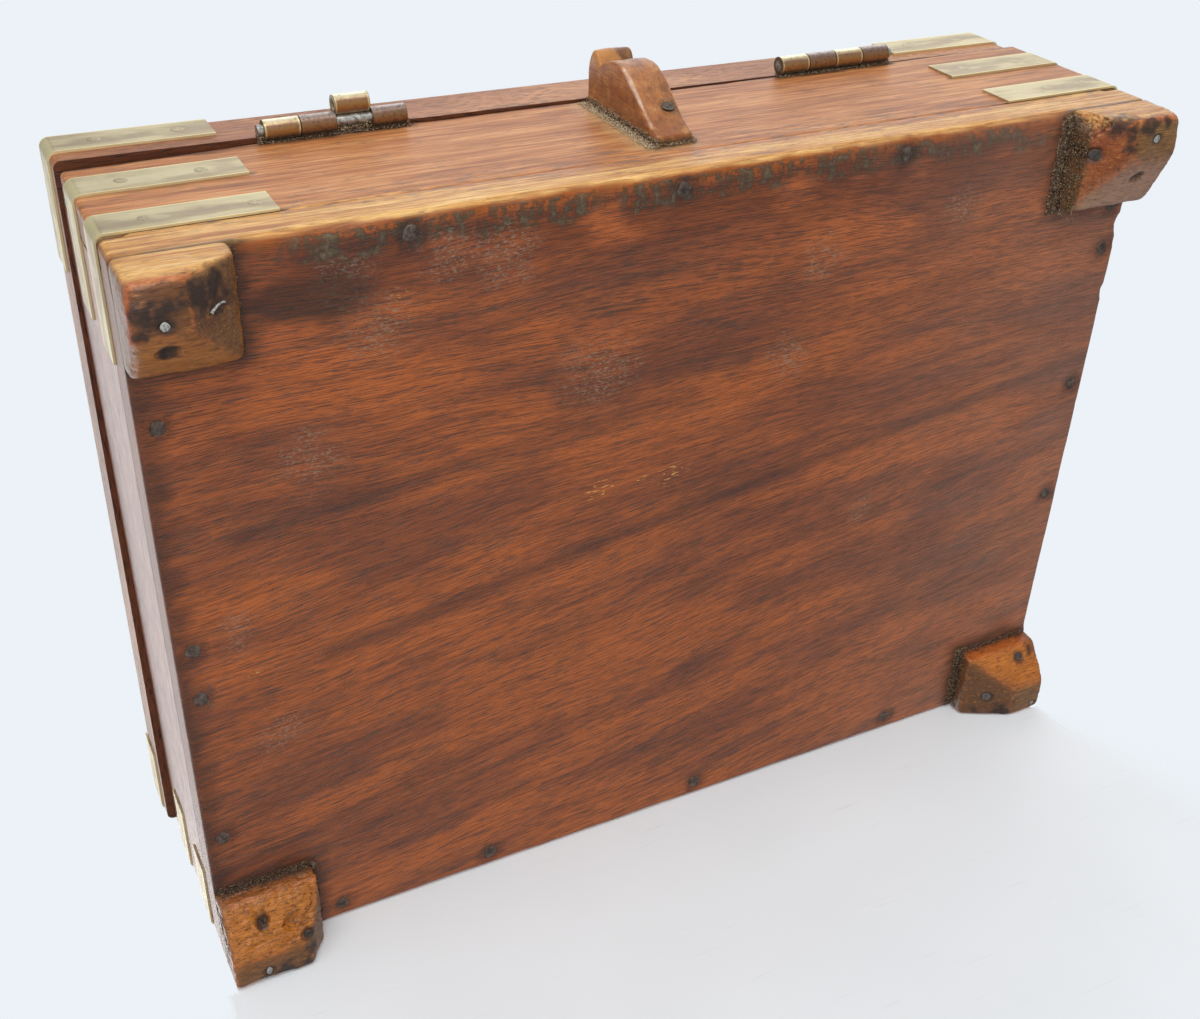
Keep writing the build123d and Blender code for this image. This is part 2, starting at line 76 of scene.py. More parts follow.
class Noise:
    """Smooth lumps of about one unit, the same each time for the same seed."""

    def __init__(self, seed):
        self.lattice = np.random.default_rng(seed).random((32, 32, 32))

    def __call__(self, points):
        whole = np.floor(points).astype(int)
        part = points - whole
        part = part * part * (3 - 2 * part)
        total = np.zeros(len(points))
        for corner in np.ndindex(2, 2, 2):
            share = np.prod(np.where(corner, part, 1 - part), axis=1)
            i, j, k = ((whole + corner) % 32).T
            total += share * self.lattice[i, j, k]
        return total

    def rough(self, points, layers=3):
        """Lumps with smaller lumps on them, from 0 to 1."""
        sizes = 2.0 ** np.arange(layers)
        return sum(self(points * size + size) / size for size in sizes) / (1 / sizes).sum()


def spread(low, high, step, near=(0.0, 0.3, 0.7, 1.2, 1.8, 2.6, 3.6)):
    """Grid lines from low to high, closer together near both ends."""
    middle = np.linspace(low + near[-1], high - near[-1], max(2, int((high - low) / step)))
    ends = np.array(near[:-1])
    return np.concatenate([low + ends, middle, (high - ends)[::-1]])


def shell(x_lines, y_lines, z_lines):
    """The skin of a box cut by grid lines: its points, and its faces as fours of them."""
    lines = (x_lines, y_lines, z_lines)
    counts = [len(line) for line in lines]
    grid = np.indices(counts)
    last = np.array(counts).reshape(3, 1, 1, 1) - 1
    on_skin = ((grid == 0) | (grid == last)).any(axis=0)
    number = np.full(counts, -1)
    number[on_skin] = np.arange(on_skin.sum())
    points = np.stack([lines[axis][grid[axis][on_skin]] for axis in range(3)], axis=1)
    faces = []
    for axis in range(3):
        for side in (0, -1):
            sheet = np.take(number, side, axis=axis)
            ring = (sheet[:-1, :-1], sheet[1:, :-1], sheet[1:, 1:], sheet[:-1, 1:])
            if (side == 0) != (axis == 1):
                ring = ring[::-1]
            faces.append(np.stack([part.ravel() for part in ring], axis=1))
    return points, np.concatenate(faces)


def rounded(points, low, high, radius):
    """The points of a box moved in so that its edges have a radius, which may vary."""
    radius = np.broadcast_to(radius, (len(points),))[:, None]
    core = np.clip(points, low + radius, high - radius)
    away = points - core
    length = np.linalg.norm(away, axis=1, keepdims=True)
    return core + away / np.maximum(length, 1e-9) * radius


def piece(name, points, faces, finish):
    """A mesh piece from points in millimetres."""
    mesh = bpy.data.meshes.new(name)
    mesh.from_pydata((points / 1000).tolist(), [], np.asarray(faces).tolist())
    mesh.validate()
    mesh.shade_smooth()
    mesh.materials.append(finish)
    made = bpy.data.objects.new(name, mesh)
    bpy.context.scene.collection.objects.link(made)
    return made


def mark(made, name, values):
    """Keeps one number per point on a piece, for its finish to read."""
    layer = made.data.attributes.new(name, "FLOAT", "POINT")
    layer.data.foreach_set("value", np.asarray(values, np.float32))


def step_up(value, low, high):
    """0 below low, 1 above high, and an easy curve between."""
    share = np.clip((value - low) / (high - low), 0, 1)
    return share * share * (3 - 2 * share)


def paint(red, green, blue):
    """A colour as red, green and blue, 0 to 255, for a shader."""
    share = np.array([red, green, blue]) / 255
    light = np.where(share <= 0.04045, share / 12.92, ((share + 0.055) / 1.055) ** 2.4)
    return (*light, 1.0)


FLAT = 1e9  # so large a size that the noise doesn't change along that axis


class Finish:
    """The nodes of one material, with short ways to add them, and its colour so far. Colours are
    given as red, green and blue from 0 to 255, or as the output of a node."""

    def __init__(self, name):
        self.material = bpy.data.materials.new(name)
        self.material.use_nodes = True
        self.tree = self.material.node_tree
        self.shader = self.tree.nodes["Principled BSDF"]
        # where a point is on the box, in millimetres
        spot = self.add("TexCoord", {}, out=3)
        self.spot = self.add("VectorMath", {0: spot, "Scale": 1000.0}, operation="SCALE")
        self.x, self.y, self.z = self.add("SeparateXYZ", {0: self.spot}).node.outputs

    def add(self, kind, inputs, out=0, **settings):
        made = self.tree.nodes.new("ShaderNode" + kind)
        for key, value in settings.items():
            setattr(made, key, value)
        for key, value in dict(inputs).items():
            self.set(made.inputs[key], value)
        return made.outputs[out]

    def set(self, socket, value):
        if isinstance(value, bpy.types.NodeSocket):
            self.tree.links.new(value, socket)
        else:
            socket.default_value = value

    def maths(self, operation, *values, clamp=False):
        return self.add("Math", enumerate(values), operation=operation, use_clamp=clamp)

    def times(self, first, second):
        return self.maths("MULTIPLY", first, second)

    def less(self, first, second):
        return self.maths("SUBTRACT", first, second)

    def line(self, value, slope, start):
        return self.maths("MULTIPLY_ADD", value, slope, start)

    def rise(self, value, low, high):
        """0 below low, 1 above high (or the other way round), and an easy curve between."""
        return self.add("MapRange", {0: value, 1: low, 2: high}, interpolation_type="SMOOTHSTEP")

    def noise(self, vector, scale=1.0, detail=2.0, rough=0.5):
        inputs = {0: vector, "Scale": scale, "Detail": detail, "Roughness": rough}
        return self.add("TexNoise", inputs)

    def grain(self, sizes, scale=1.0, detail=2.0, rough=0.5, spot=None):
        """Noise drawn out along each axis by its size."""
        inputs = {0: spot or self.spot, 1: sizes}
        drawn_out = self.add("VectorMath", inputs, operation="DIVIDE")
        return self.noise(drawn_out, scale, detail, rough)

    def mark(self, name):
        return self.add("Attribute", {}, out=2, attribute_name=name)

    def facing(self):
        """Which way the skin faces, as x, y and z."""
        return self.add("SeparateXYZ", {0: self.add("TexCoord", {}, out=1)}).node.outputs

    def mix(self, share, first, second):
        first, second = (
            paint(*colour) if isinstance(colour, tuple) else colour for colour in (first, second)
        )
        return self.add("Mix", {0: share, 6: first, 7: second}, out=2, data_type="RGBA")

    def tones(self, value, *stops):
        """Colours along a value, each as (where, colour)."""
        made = self.tree.nodes.new("ShaderNodeValToRGB")
        steps = made.color_ramp.elements
        steps.remove(steps[1])
        steps[0].position = stops[0][0]
        steps[0].color = paint(*stops[0][1])
        for where, colour in stops[1:]:
            steps.new(where).color = paint(*colour)
        self.set(made.inputs[0], value)
        return made.outputs[0]

    def coat(self, share, colour, strength=1.0):
        """Lays a colour over a share of the finish so far."""
        if strength != 1.0:
            share = self.times(share, strength)
        self.colour = self.mix(share, self.colour, colour)

    def close(self, rough, metal=0.0, relief=None, depth=0.0001, gloss=0.5):
        """Gives the material its colour, its shine and the relief of its skin."""
        inputs = self.shader.inputs
        self.set(inputs["Base Color"], self.colour)
        self.set(inputs["Roughness"], rough)
        self.set(inputs["Metallic"], metal)
        self.set(inputs["Specular IOR Level"], gloss)
        if relief:
            bump = self.add("Bump", {"Strength": 1.0, "Distance": depth, "Height": relief})
            self.set(inputs["Normal"], bump)
        return self.material


def timber(name, grain_axis, deep, warm, bright, shade, lean=None, offset=0.0, grain=1.0):
    """A wood finish with its grain along an axis, and the relief of that grain."""
    finish = Finish(name)
    place = finish.x, finish.y, finish.z
    along, across, through = (place[(grain_axis + turn) % 3] for turn in range(3))
    along = finish.maths("ADD", along, offset)
    if lean:
        across = lean(finish, along, across)

    def lines(length, width, detail=1.0, rough=0.5):
        spot = finish.add("CombineXYZ", {0: along, 1: across, 2: through})
        return finish.grain((length, width, width), 1.0, detail, rough, spot)

    across = finish.line(finish.less(lines(80.0, 40.0), 0.5), 10.0, across)
    slow = lines(70.0, 20.0, 3.0, 0.6)
    bands = lines(130.0, 6.0, 4.0, 0.65)
    smoke = lines(34.0, 8.0, 5.0, 0.75)
    streaks = lines(24.0, 1.0, 4.0, 0.7)
    fibres = lines(13.0, 0.30, 4.0, 0.68)
    bristle = lines(3.6, 0.20)
    dashes = lines(5.5, 0.24, 0.0)
    band = finish.times(finish.rise(bands, 0.52, 0.72), 0.8)
    cloud = finish.maths("MAXIMUM", band, finish.rise(smoke, 0.50, 0.74))
    # the pores are short dark dashes, thicker on the ground in the dark bands
    edge = finish.line(cloud, -0.08, 0.61)
    pores = finish.rise(finish.less(dashes, edge), 0.0, 0.10)
    finish.colour = finish.mix(finish.rise(slow, 0.38, 0.62), warm, bright)
    finish.coat(finish.rise(streaks, 0.52, 0.34), deep, 0.34)
    finish.coat(cloud, shade, 0.45)
    finish.coat(finish.rise(fibres, 0.50, 0.34), deep, 0.6 * grain)
    finish.coat(finish.rise(fibres, 0.54, 0.70), bright, 0.42 * grain)
    finish.coat(finish.rise(bristle, 0.48, 0.34), deep, 0.45 * grain)
    finish.coat(pores, shade, 0.6 * grain)
    return finish, finish.less(finish.times(fibres, 0.7), pores)


def wood_surface(finish, relief, rough=0.42, depth=0.00009, gloss=0.45):
    """Closes a wood finish with a waxed sheen and the relief of its grain."""
    return finish.close(finish.line(relief, -0.10, rough), 0.0, relief, depth, gloss)


def board_lean(finish, along, across):
    """The bottom board's grain slants towards the back, except near the back edge."""
    from_back = finish.less(float(BOARD_HIGH[1]), across)
    from_right = finish.less(float(BOARD_HIGH[0]), along)
    slant = finish.times(finish.rise(from_back, 35.0, 115.0), 0.14)
    return finish.less(across, finish.times(from_right, slant))


def aged(finish):
    """The faded wood of the back: light brown with darker streaks, and golden towards its foot.
    Gives its colour and the relief of its fibres."""
    slow = finish.grain((60.0, 5.0, 5.0), 1.0, 4.0, 0.6)
    streaks = finish.grain((26.0, 1.1, 1.1), 1.0, 4.0, 0.6)
    fibres = finish.grain((9.0, 0.30, 0.30), 1.0, 2.0, 0.6)
    mottle = finish.grain((13.0, 3.6, 3.6), 1.0, 4.0, 0.7)
    value = finish.line(streaks, 0.6, finish.times(slow, 0.4))
    tan = finish.tones(
        value, (0.38, (152, 92, 54)), (0.50, (188, 122, 72)), (0.60, (212, 150, 96))
    )
    gold = finish.tones(
        value, (0.38, (176, 112, 56)), (0.50, (218, 160, 88)), (0.62, (242, 196, 124))
    )
    height = finish.line(mottle, 10.0, finish.less(finish.z, 5.0))
    height = finish.line(finish.rise(finish.x, 30.0, 110.0), -5.0, height)
    height = finish.line(finish.rise(finish.x, -96.0, -132.0), -6.0, height)
    colour = finish.mix(finish.rise(height, 26.0, 21.0), tan, gold)
    dim = finish.times(finish.rise(mottle, 0.54, 0.68), 0.55)
    colour = finish.mix(dim, colour, (128, 92, 66))
    # grey stains along the joint of the wall and the bottom board
    near_joint = finish.times(finish.rise(finish.z, 19.0, 27.0), finish.rise(finish.z, 42.0, 32.0))
    grey = finish.rise(finish.grain((9.0, FLAT, 1.8), 1.0, 5.0, 0.7), 0.50, 0.62)
    grey = finish.times(finish.times(grey, near_joint), 0.6)
    colour = finish.mix(grey, colour, (98, 88, 82))
    dark = finish.times(finish.rise(fibres, 0.50, 0.32), 0.45)
    return finish.mix(dark, colour, (112, 66, 40)), fibres


def bottom_finish():
    finish, relief = timber(
        "bottom wood", 0, (68, 38, 27), (146, 79, 47), (192, 102, 48), (72, 60, 52), board_lean
    )
    from_back = finish.less(float(BOARD_HIGH[1]), finish.y)
    # the back edge has faded like the wall above it; where it turns under it is worn orange and
    # brightened by a painted glow
    rub = finish.grain((5.0, 1.0, 1.0), 0.8, 4.0, 0.7)
    wear_and_glow = finish.times(finish.rise(from_back, 5.5, 1.2), finish.mark("wear_and_glow"))
    finish.coat(finish.times(wear_and_glow, finish.rise(rub, 0.20, 0.45)), (158, 82, 22))
    finish.coat(finish.mark("worn"), aged(finish)[0])
    # the front and the ends were polished with the walls
    finish.coat(finish.mark("polished"), (112, 62, 44))
    # crusty dark blots lie in a row a little way in from the back edge
    dusk = finish.times(finish.rise(from_back, 27.0, 8.0), finish.rise(from_back, 2.5, 5.5))
    finish.coat(finish.times(dusk, finish.mark("stained")), (78, 36, 20), 0.62)
    crust = finish.grain((2.4, 3.4, 1.0), 1.0, 5.0, 0.7)
    width = finish.line(finish.grain((11.0, FLAT, FLAT)), 9.0, 4.6)
    strip = finish.times(
        finish.rise(from_back, 0.9, 2.2), finish.rise(finish.less(from_back, width), 0.8, -1.6)
    )
    blots = finish.times(finish.rise(crust, 0.42, 0.55), strip)
    crusty = finish.tones(crust, (0.46, (40, 30, 20)), (0.70, (116, 102, 76)))
    finish.coat(finish.times(blots, finish.mark("stained")), crusty, 0.88)
    finish.coat(finish.mark("streak"), (66, 44, 38))
    # a painted sheen, pale towards the left end of the underside
    finish.coat(finish.mark("painted_sheen"), (176, 140, 120))
    flecks = finish.rise(finish.grain((5.0, 1.0, 1.0), 2.0, 1.0), 0.62, 0.68)
    finish.coat(finish.times(flecks, finish.mark("flecked")), (236, 180, 96))
    specks = finish.rise(finish.grain((1.8, 1.0, 1.0), 1.5, 4.0, 0.8), 0.50, 0.64)
    finish.coat(finish.times(specks, finish.mark("speckled")), (154, 136, 116), 0.75)
    finish.coat(finish.mark("grime"), (40, 30, 25))
    return wood_surface(finish, relief)


def near_line(points, line):
    """Distance across the board from each point to a line of (x, y) corners."""
    best = np.full(len(points), 1e9)
    for start, end in zip(line[:-1], line[1:]):
        start, end = np.array(start), np.array(end)
        run = end - start
        share = np.clip((points - start) @ run / (run @ run), 0, 1)[:, None]
        best = np.minimum(best, np.linalg.norm(points - start - share * run, axis=1))
    return best


# Foot blocks: how far each reaches in from its corner, and the corner's sides (right, back)
FEET = {
    "back_right": (26.5, 27.5, 1, 1),
    "back_left": (29.0, 29.0, -1, 1),
    "front_right": (29.0, 26.0, 1, -1),
    "front_left": (30.0, 25.0, -1, -1),
}
# Dark streaks in the grain, as distance from the right end and from the back, and their widths
STREAKS = (
    ([(40, 122), (120, 108), (200, 97), (300, 84)], 1.9, 0.62),
    ([(0, 191), (60, 176), (110, 170)], 1.6, 0.4),
    ([(150, 166), (230, 156), (300, 148)], 1.2, 0.35),
    ([(110, 60), (180, 52), (250, 47)], 3.2, 0.35),
    ([(20, 78), (90, 70), (150, 66)], 2.2, 0.4),
    ([(90, 140), (170, 130), (250, 118)], 1.4, 0.35),
)
# Nails up into the walls, and pale smears left on the board, as distance from the right end and
# from the back; a smear also has its size
NAILS = (
    (69, 5), (143, 5), (213, 5), (37, 217.7), (86, 217.7), (161, 217.7), (240, 217.7),
    (5, 43), (5, 109), (5, 125), (5, 176), (295, 31.8), (295, 46), (295, 93.5), (295, 136.5),
)
SMEARS = (
    (189, 31, 7), (16.5, 104, 5), (17, 110, 4), (6.5, 125, 4), (27, 143, 6), (22, 146, 5),
    (78, 12, 8), (93, 14, 10), (52, 15, 9), (215, 121, 5), (120, 52, 12), (236, 24, 7),
    (180, 60, 8), (40, 60, 9), (60, 28, 10),
)
# Golden flecks where the surface is nicked
FLECKS = ((121.5, 90, 4), (134, 89.5, 2), (144, 90.5, 4), (19.5, 121, 1.5), (66, 20, 2))


def bottom_board():
    points, faces = shell(
        spread(BOARD_LOW[0], BOARD_HIGH[0], 2.0),
        spread(BOARD_LOW[1], BOARD_HIGH[1], 2.0),
        spread(BOARD_LOW[2], BOARD_HIGH[2], 1.4, (0.0, 0.3, 0.7, 1.2, 1.8, 2.6)),
    )
    from_right, from_back = (BOARD_HIGH - points)[:, :2].T
    length, width = (BOARD_HIGH - BOARD_LOW)[:2]
    past_feet = [
        ((from_right if side > 0 else length - from_right) - reach_x,
         (from_back if end > 0 else width - from_back) - reach_y)
        for reach_x, reach_y, side, end in FEET.values()
    ]
    wavy = Noise(11).rough(points / (9.0, 9.0, 40.0), 3)
    under = 1 - step_up(points[:, 2], BOARD_LOW[2] + 2, BOARD_LOW[2] + 8)
    radius = 0.3 + under * (0.5 + 1.2 * wavy)
    radius += under * (1 - step_up(from_back, 4, 9)) * (0.4 + 3.0 * wavy**1.5)
    for past_x, past_y in past_feet:
        at_foot = (1 - step_up(past_x, 0, 3)) * (1 - step_up(past_y, 0, 3))
        radius = radius * (1 - at_foot) + 0.05 * at_foot
    # upright corners stay as round as the walls above them
    near_end = np.minimum(from_right, length - from_right) < 6
    near_side = np.minimum(from_back, width - from_back) < 6
    radius = np.where(near_end & near_side, np.maximum(radius, 2.0), radius)
    shaped = rounded(points, BOARD_LOW, BOARD_HIGH, radius)
    nail_gaps = [np.hypot(from_right - x, from_back - y) for x, y in NAILS]
    for gap in nail_gaps:
        shaped[:, 2] += 0.35 * (1 - step_up(gap, 2.2, 3.6)) * (shaped[:, 2] < BOARD_LOW[2] + 1)
    # chips along the left end of the underside
    for chip_y, chip_size in ((38.5, 2.6), (44, 1.6), (61, 1.9), (70, 1.1), (101, 1.4), (150, 1.2)):
        spot = (BOARD_LOW[0] - 0.4, BOARD_HIGH[1] - chip_y, BOARD_LOW[2] - 0.4)
        gap = np.linalg.norm((shaped - spot) / (1.0, 1.6, 1.0), axis=1)
        push = np.maximum(0, chip_size * (0.7 + 0.6 * wavy) - gap)
        shaped += push[:, None] * (0.6, 0, 0.8)
    made = piece("bottom_board_worn", shaped, faces, bottom_finish())
    on_face = 1 - step_up(shaped[:, 2], BOARD_LOW[2] + 0.6, BOARD_LOW[2] + 1.8)
    patchy = Noise(12).rough(points / (14.0, 5.0, 20.0), 4)
    fine = Noise(13).rough(points / (5.0, 1.6, 5.0), 4)

    def patches(spots, long, ragged, low, high):
        """Where spots lie, each with its distances from the right end and the back, and size."""
        found = np.zeros(len(points))
        for x, y, size in spots:
            gap = np.hypot((from_right - x) / long, from_back - y) / size
            found = np.maximum(found, 1 - step_up(gap + ragged, low, high))
        return found * on_face

    mark(made, "speckled", patches(SMEARS, 1.0, 1.2 * (fine - 0.5), 0.3, 1.3))
    mark(made, "flecked", patches(FLECKS, 1.6, 0.0, 0.5, 1.0))
    streak = np.zeros(len(points))
    flat = np.stack([from_right, from_back], axis=1)
    for line, breadth, strength in STREAKS:
        ragged = breadth * (0.5 + 1.6 * patchy)
        streak = np.maximum(streak, strength * np.exp(-((near_line(flat, line) / ragged) ** 2)))
    mark(made, "streak", streak * on_face)
    # the back edge is worn back to golden wood, and so are the other arrises in places
    on_back = 1 - step_up(BOARD_HIGH[1] - shaped[:, 1] + 1.2 * (fine - 0.5), 0.3, 1.5)
    mark(made, "polished", 0.6 * (1 - on_face) * (1 - on_back))
    mark(made, "worn", np.clip(np.maximum(on_back, 0.25 * (1 - on_face)), 0, 1))
    # worn orange wood with a painted glow along the back edge, where it turns under
    mark(made, "wear_and_glow", (0.45 + 0.9 * fine) * (1 - step_up(from_back + 9 * (patchy - 0.5), 3, 9)))
    along_back = step_up(from_right, 22, 50) * (1 - step_up(from_right, 262, 290))
    mark(made, "stained", along_back * step_up(patchy, 0.30, 0.52) * on_face)
    # a painted sheen over the underside, growing towards the left end
    painted_sheen = step_up(from_right, 170, 300) * (0.12 + 0.2 * patchy)
    mark(made, "painted_sheen", np.clip(painted_sheen * on_face, 0, 0.5))
    # dirt along the right end, in a patch beside the back right foot, round the feet and nails
    dirt = [(1 - step_up(from_right + 8 * (fine - 0.5), 0.5, 9)) * 0.6]
    gap = np.hypot((from_right - 44) / 20, (from_back - 17) / 9) + 1.3 * (patchy - 0.5)
    dirt.append(0.75 * (1 - step_up(gap, 0.35, 1.1)))
    for past in past_feet:
        gap = np.maximum(*past) + 5 * (fine - 0.5)
        dirt.append(0.75 * (1 - step_up(gap, 0.5, 7)))
    for gap in nail_gaps:
        dirt.append(0.55 * (1 - step_up(gap + 3 * (fine - 0.5), 2.6, 5.5)))
    mark(made, "grime", np.clip(np.max(dirt, axis=0) * on_face, 0, 0.95))
    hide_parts("bottom_board")
    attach(made, "case")


bottom_board()

# ---------------------------------------------------------------------------------------------
# Case walls. Four boards of the same wood, the front and back run past the ends. The back has
# faded to a light brown, golden at its foot, and its rim is worn down towards the right corner.
# ---------------------------------------------------------------------------------------------
WALL_HIGH = corners("back_board")[1]
RIM = WALL_HIGH[2]
BLOCK_LOW, BLOCK_HIGH = corners("stop_block")
LEAVES = {side: corners(f"hinge_{side}_case_leaf") for side in ("left", "right")}


def finish_node(name, material):
    """Gives a machined piece its finish."""
    slots = frame["nodes"][name].data.materials
    slots.clear()
    slots.append(material)


def back_finish():
    finish = Finish("back wall wood")
    finish.colour, fibres = aged(finish)
    powder = finish.noise(finish.spot, 1.6, 4.0, 0.8)
    dusty = finish.times(finish.mark("dusty"), finish.rise(powder, 0.36, 0.58))
    finish.coat(dusty, (196, 166, 122))
    finish.coat(finish.mark("sheltered"), (112, 60, 38))
    # dirt, and the painted shade along the rim under the lid
    finish.coat(finish.mark("grime"), (50, 34, 26))
    return wood_surface(finish, fibres, rough=0.46, gloss=0.25)


def worn_board(node, seed, wear, round_over, finish, drop=None):
    """A plain board, its upright and rim arrises rubbed down unevenly."""
    low, high = corners(node)
    points, faces = shell(*(spread(low[axis], high[axis], 1.8) for axis in range(3)))
    wavy = Noise(seed).rough(points / 8.0, 3)
    shaped = rounded(points, low, high, round_over * (0.5 + wear * wavy))
    if drop:
        top = step_up(shaped[:, 2], high[2] - 6, high[2])
        shaped[:, 2] -= top * drop(shaped, wavy)
    made = piece(node + "_worn", shaped, faces, finish)
    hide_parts(node)
    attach(made, "case")
    return made, shaped


def rim_drop(points, wavy):
    """How far the back's rim is worn down, most of all by the right corner."""
    from_right = WALL_HIGH[0] - points[:, 0]
    worn = 2.1 * (1 - step_up(from_right, 16, 62)) * (0.7 + 0.6 * wavy)
    outer = step_up(points[:, 1], WALL_HIGH[1] - 7, WALL_HIGH[1] - 2)
    down = np.maximum(worn, 0.35 * wavy) * outer
    for low, high in LEAVES.values():
        inside = (points[:, 0] > low[0] - 1.2) & (points[:, 0] < high[0] + 1.2)
        down = np.where(inside, 1.15, down)
    return down


def back_marks(made, points):
    """Dirt and dust on the back, and painted shade along its rim under the lid."""
    ragged = Noise(52).rough(points / (5.0, 3.0, 2.0), 4) - 0.5
    x, y, z = points.T
    down = RIM - z
    # the wood kept its red inside the case, out of the light
    outside = step_up(y, WALL_HIGH[1] - 4, WALL_HIGH[1] - 1.5)
    mark(made, "sheltered", 0.72 * (1 - outside))
    # dust lies beside the stop block, most of it to its right
    aside = np.maximum(x - BLOCK_HIGH[0], 3 * (BLOCK_LOW[0] - x))
    below = np.maximum(BLOCK_LOW[2] - z, 0)
    gap = np.maximum(aside, 0) + 2 * below + 4 * ragged
    mark(made, "dusty", 0.85 * (1 - step_up(gap, 2.0, 9.0)) * (y > WALL_HIGH[1] - 2))
    # painted shade: a dark band along the rim, in the seam under the lid
    dirt = [1 - step_up(down + 2.4 * ragged, 0.5, 1.6)]
    # darker further below the rim towards the right corner, where the rim is worn down
    worn = 1 - step_up(WALL_HIGH[0] - x, 20, 66)
    dirt.append(worn * (1 - step_up(down + 2 * ragged, 2.6, 4.2)))
    for low, high in LEAVES.values():
        beside = np.maximum(np.maximum(low[0] - x, x - high[0]), 0)
        near_leaf = 1 - step_up(beside + 4 * ragged, 0.5, 3.5)
        dirt.append(0.9 * near_leaf * (1 - step_up(down + 3 * ragged, 2.0, 4.5)))
    # a dark line along the lower edges of the straps, and a ring round the stop block
    for strap in ("right_lower", "right_upper", "left_lower", "left_upper"):
        low, high = corners("strap_back_" + strap)
        gap = low[2] - z
        line = (gap > -0.6) * (1 - step_up(gap + 1.2 * ragged, 0.3, 1.5))
        dirt.append(0.75 * line * (x > low[0] - 1) * (x < high[0] + 1) * outside)
    beside = np.maximum(np.maximum(BLOCK_LOW[0] - x, x - BLOCK_HIGH[0]), 0)
    dirt.append(0.7 * (1 - step_up(np.hypot(beside, below) + 3 * ragged, 0.6, 3.2)) * outside)
    mark(made, "grime", np.clip(np.max(dirt, axis=0), 0, 0.95))


back_marks(*worn_board("back_board", 51, 1.0, 1.0, back_finish(), rim_drop))


def wall_finish(name, axis, offset, gloss=0.5):
    finish, relief = timber(
        name, axis, (92, 50, 34), (142, 76, 46), (178, 102, 60), (72, 46, 38), offset=offset
    )
    return wood_surface(finish, relief, rough=0.36, gloss=gloss)


finish_node("front_board", wall_finish("front wall wood", 0, 500))
side_wood = wall_finish("end wall wood", 1, 300, 0.8)
worn_board("left_board", 53, 0.6, 0.4, side_wood)
worn_board("right_board", 54, 0.6, 0.4, side_wood)

# ---------------------------------------------------------------------------------------------
# Lid. Four rails with a panel let in between them, a little paler than the case on top, and
# nearly black underneath and along their lower edges, partly dirt and old polish and partly painted
# shade.
# ---------------------------------------------------------------------------------------------


def lid_finish(name, axis, offset, dirt_and_shade_share):
    finish, relief = timber(
        name, axis, (118, 68, 40), (164, 100, 60), (204, 140, 88), (92, 64, 50), offset=offset
    )
    # painted shade over dirt and old polish: the faces that look down, and a ragged band along the
    # lower edge by the seam, darkened to streaky near-black browns
    under = finish.rise(finish.facing()[2], -0.35, -0.75)
    ragged = finish.grain((4.0, 4.0, 1.0), 1.0, 3.0)
    low = finish.times(finish.rise(finish.z, RIM + 2.2, RIM + 0.8), finish.rise(ragged, 0.40, 0.62))
    dark = finish.maths("MAXIMUM", finish.times(low, 0.8), under)
    streaky = finish.line(relief, 0.5, finish.line(ragged, 0.25, 0.38))
    polish = finish.tones(streaky, (0.45, (38, 21, 15)), (0.80, (112, 58, 34)))
    finish.coat(dark, polish, dirt_and_shade_share)
    return wood_surface(finish, relief, gloss=0.3)


finish_node("lid_panel", lid_finish("lid panel wood", 0, 900, 0.45))
for axis, offset, length, sides in (
    (0, 1300, "long", ("back", "front")), (1, 700, "short", ("left", "right"))
):
    rail_wood = lid_finish(f"lid {length} rail wood", axis, offset, 0.92)
    for side in sides:
        finish_node(f"lid_{side}_rail", rail_wood)

# ---------------------------------------------------------------------------------------------
# Feet. Four blocks cut from offcuts and bevelled by hand on their two inner sides, then nailed up
# through the bevels and the flat. Every corner is worn round, and no two are alike.
# ---------------------------------------------------------------------------------------------
FOOT_HEIGHT = float(BOARD_LOW[2])
BURIED = 3.0  # how far a foot's worn shape runs on above the block, so that its top stays square
DRIVEN_DEEP = 0.9  # a nail dirtier than this lies at the bottom of a slot
# For each foot: the flat it stands on (x, y), the step at the end of each bevel (x, y), how soft
# its edges and how rough its skin are, then the colours of its outer end, its outer side, its
# flat, its two bevels (x, y) and its two steps
FOOT_SHAPES = {
    "back_right": (
        (14.0, 14.0), (5.5, 5.5), 0.70, 0.40,
        ((140, 112, 94), (192, 146, 90), (92, 56, 32), (90, 62, 42), (176, 108, 48),
         (160, 88, 36), (148, 88, 42)),
    ),
    "back_left": (
        (17.0, 13.0), (9.0, 7.0), 0.60, 0.35,
        ((112, 76, 52), (196, 138, 84), (112, 82, 44), (142, 62, 18), (172, 132, 110),
         (84, 62, 44), (136, 98, 78)),
    ),
    "front_right": (
        (23.0, 10.0), (7.0, 6.0), 0.50, 0.65,
        ((120, 94, 76), (106, 70, 44), (104, 68, 42), (128, 98, 70), (190, 110, 22),
         (120, 84, 56), (148, 76, 26)),
    ),
    "front_left": (
        (13.0, 12.0), (6.0, 6.0), 0.50, 0.25,
        ((132, 78, 40), (96, 60, 36), (100, 74, 46), (64, 30, 22), (190, 104, 28),
         (60, 32, 22), (184, 84, 18)),
    ),
}
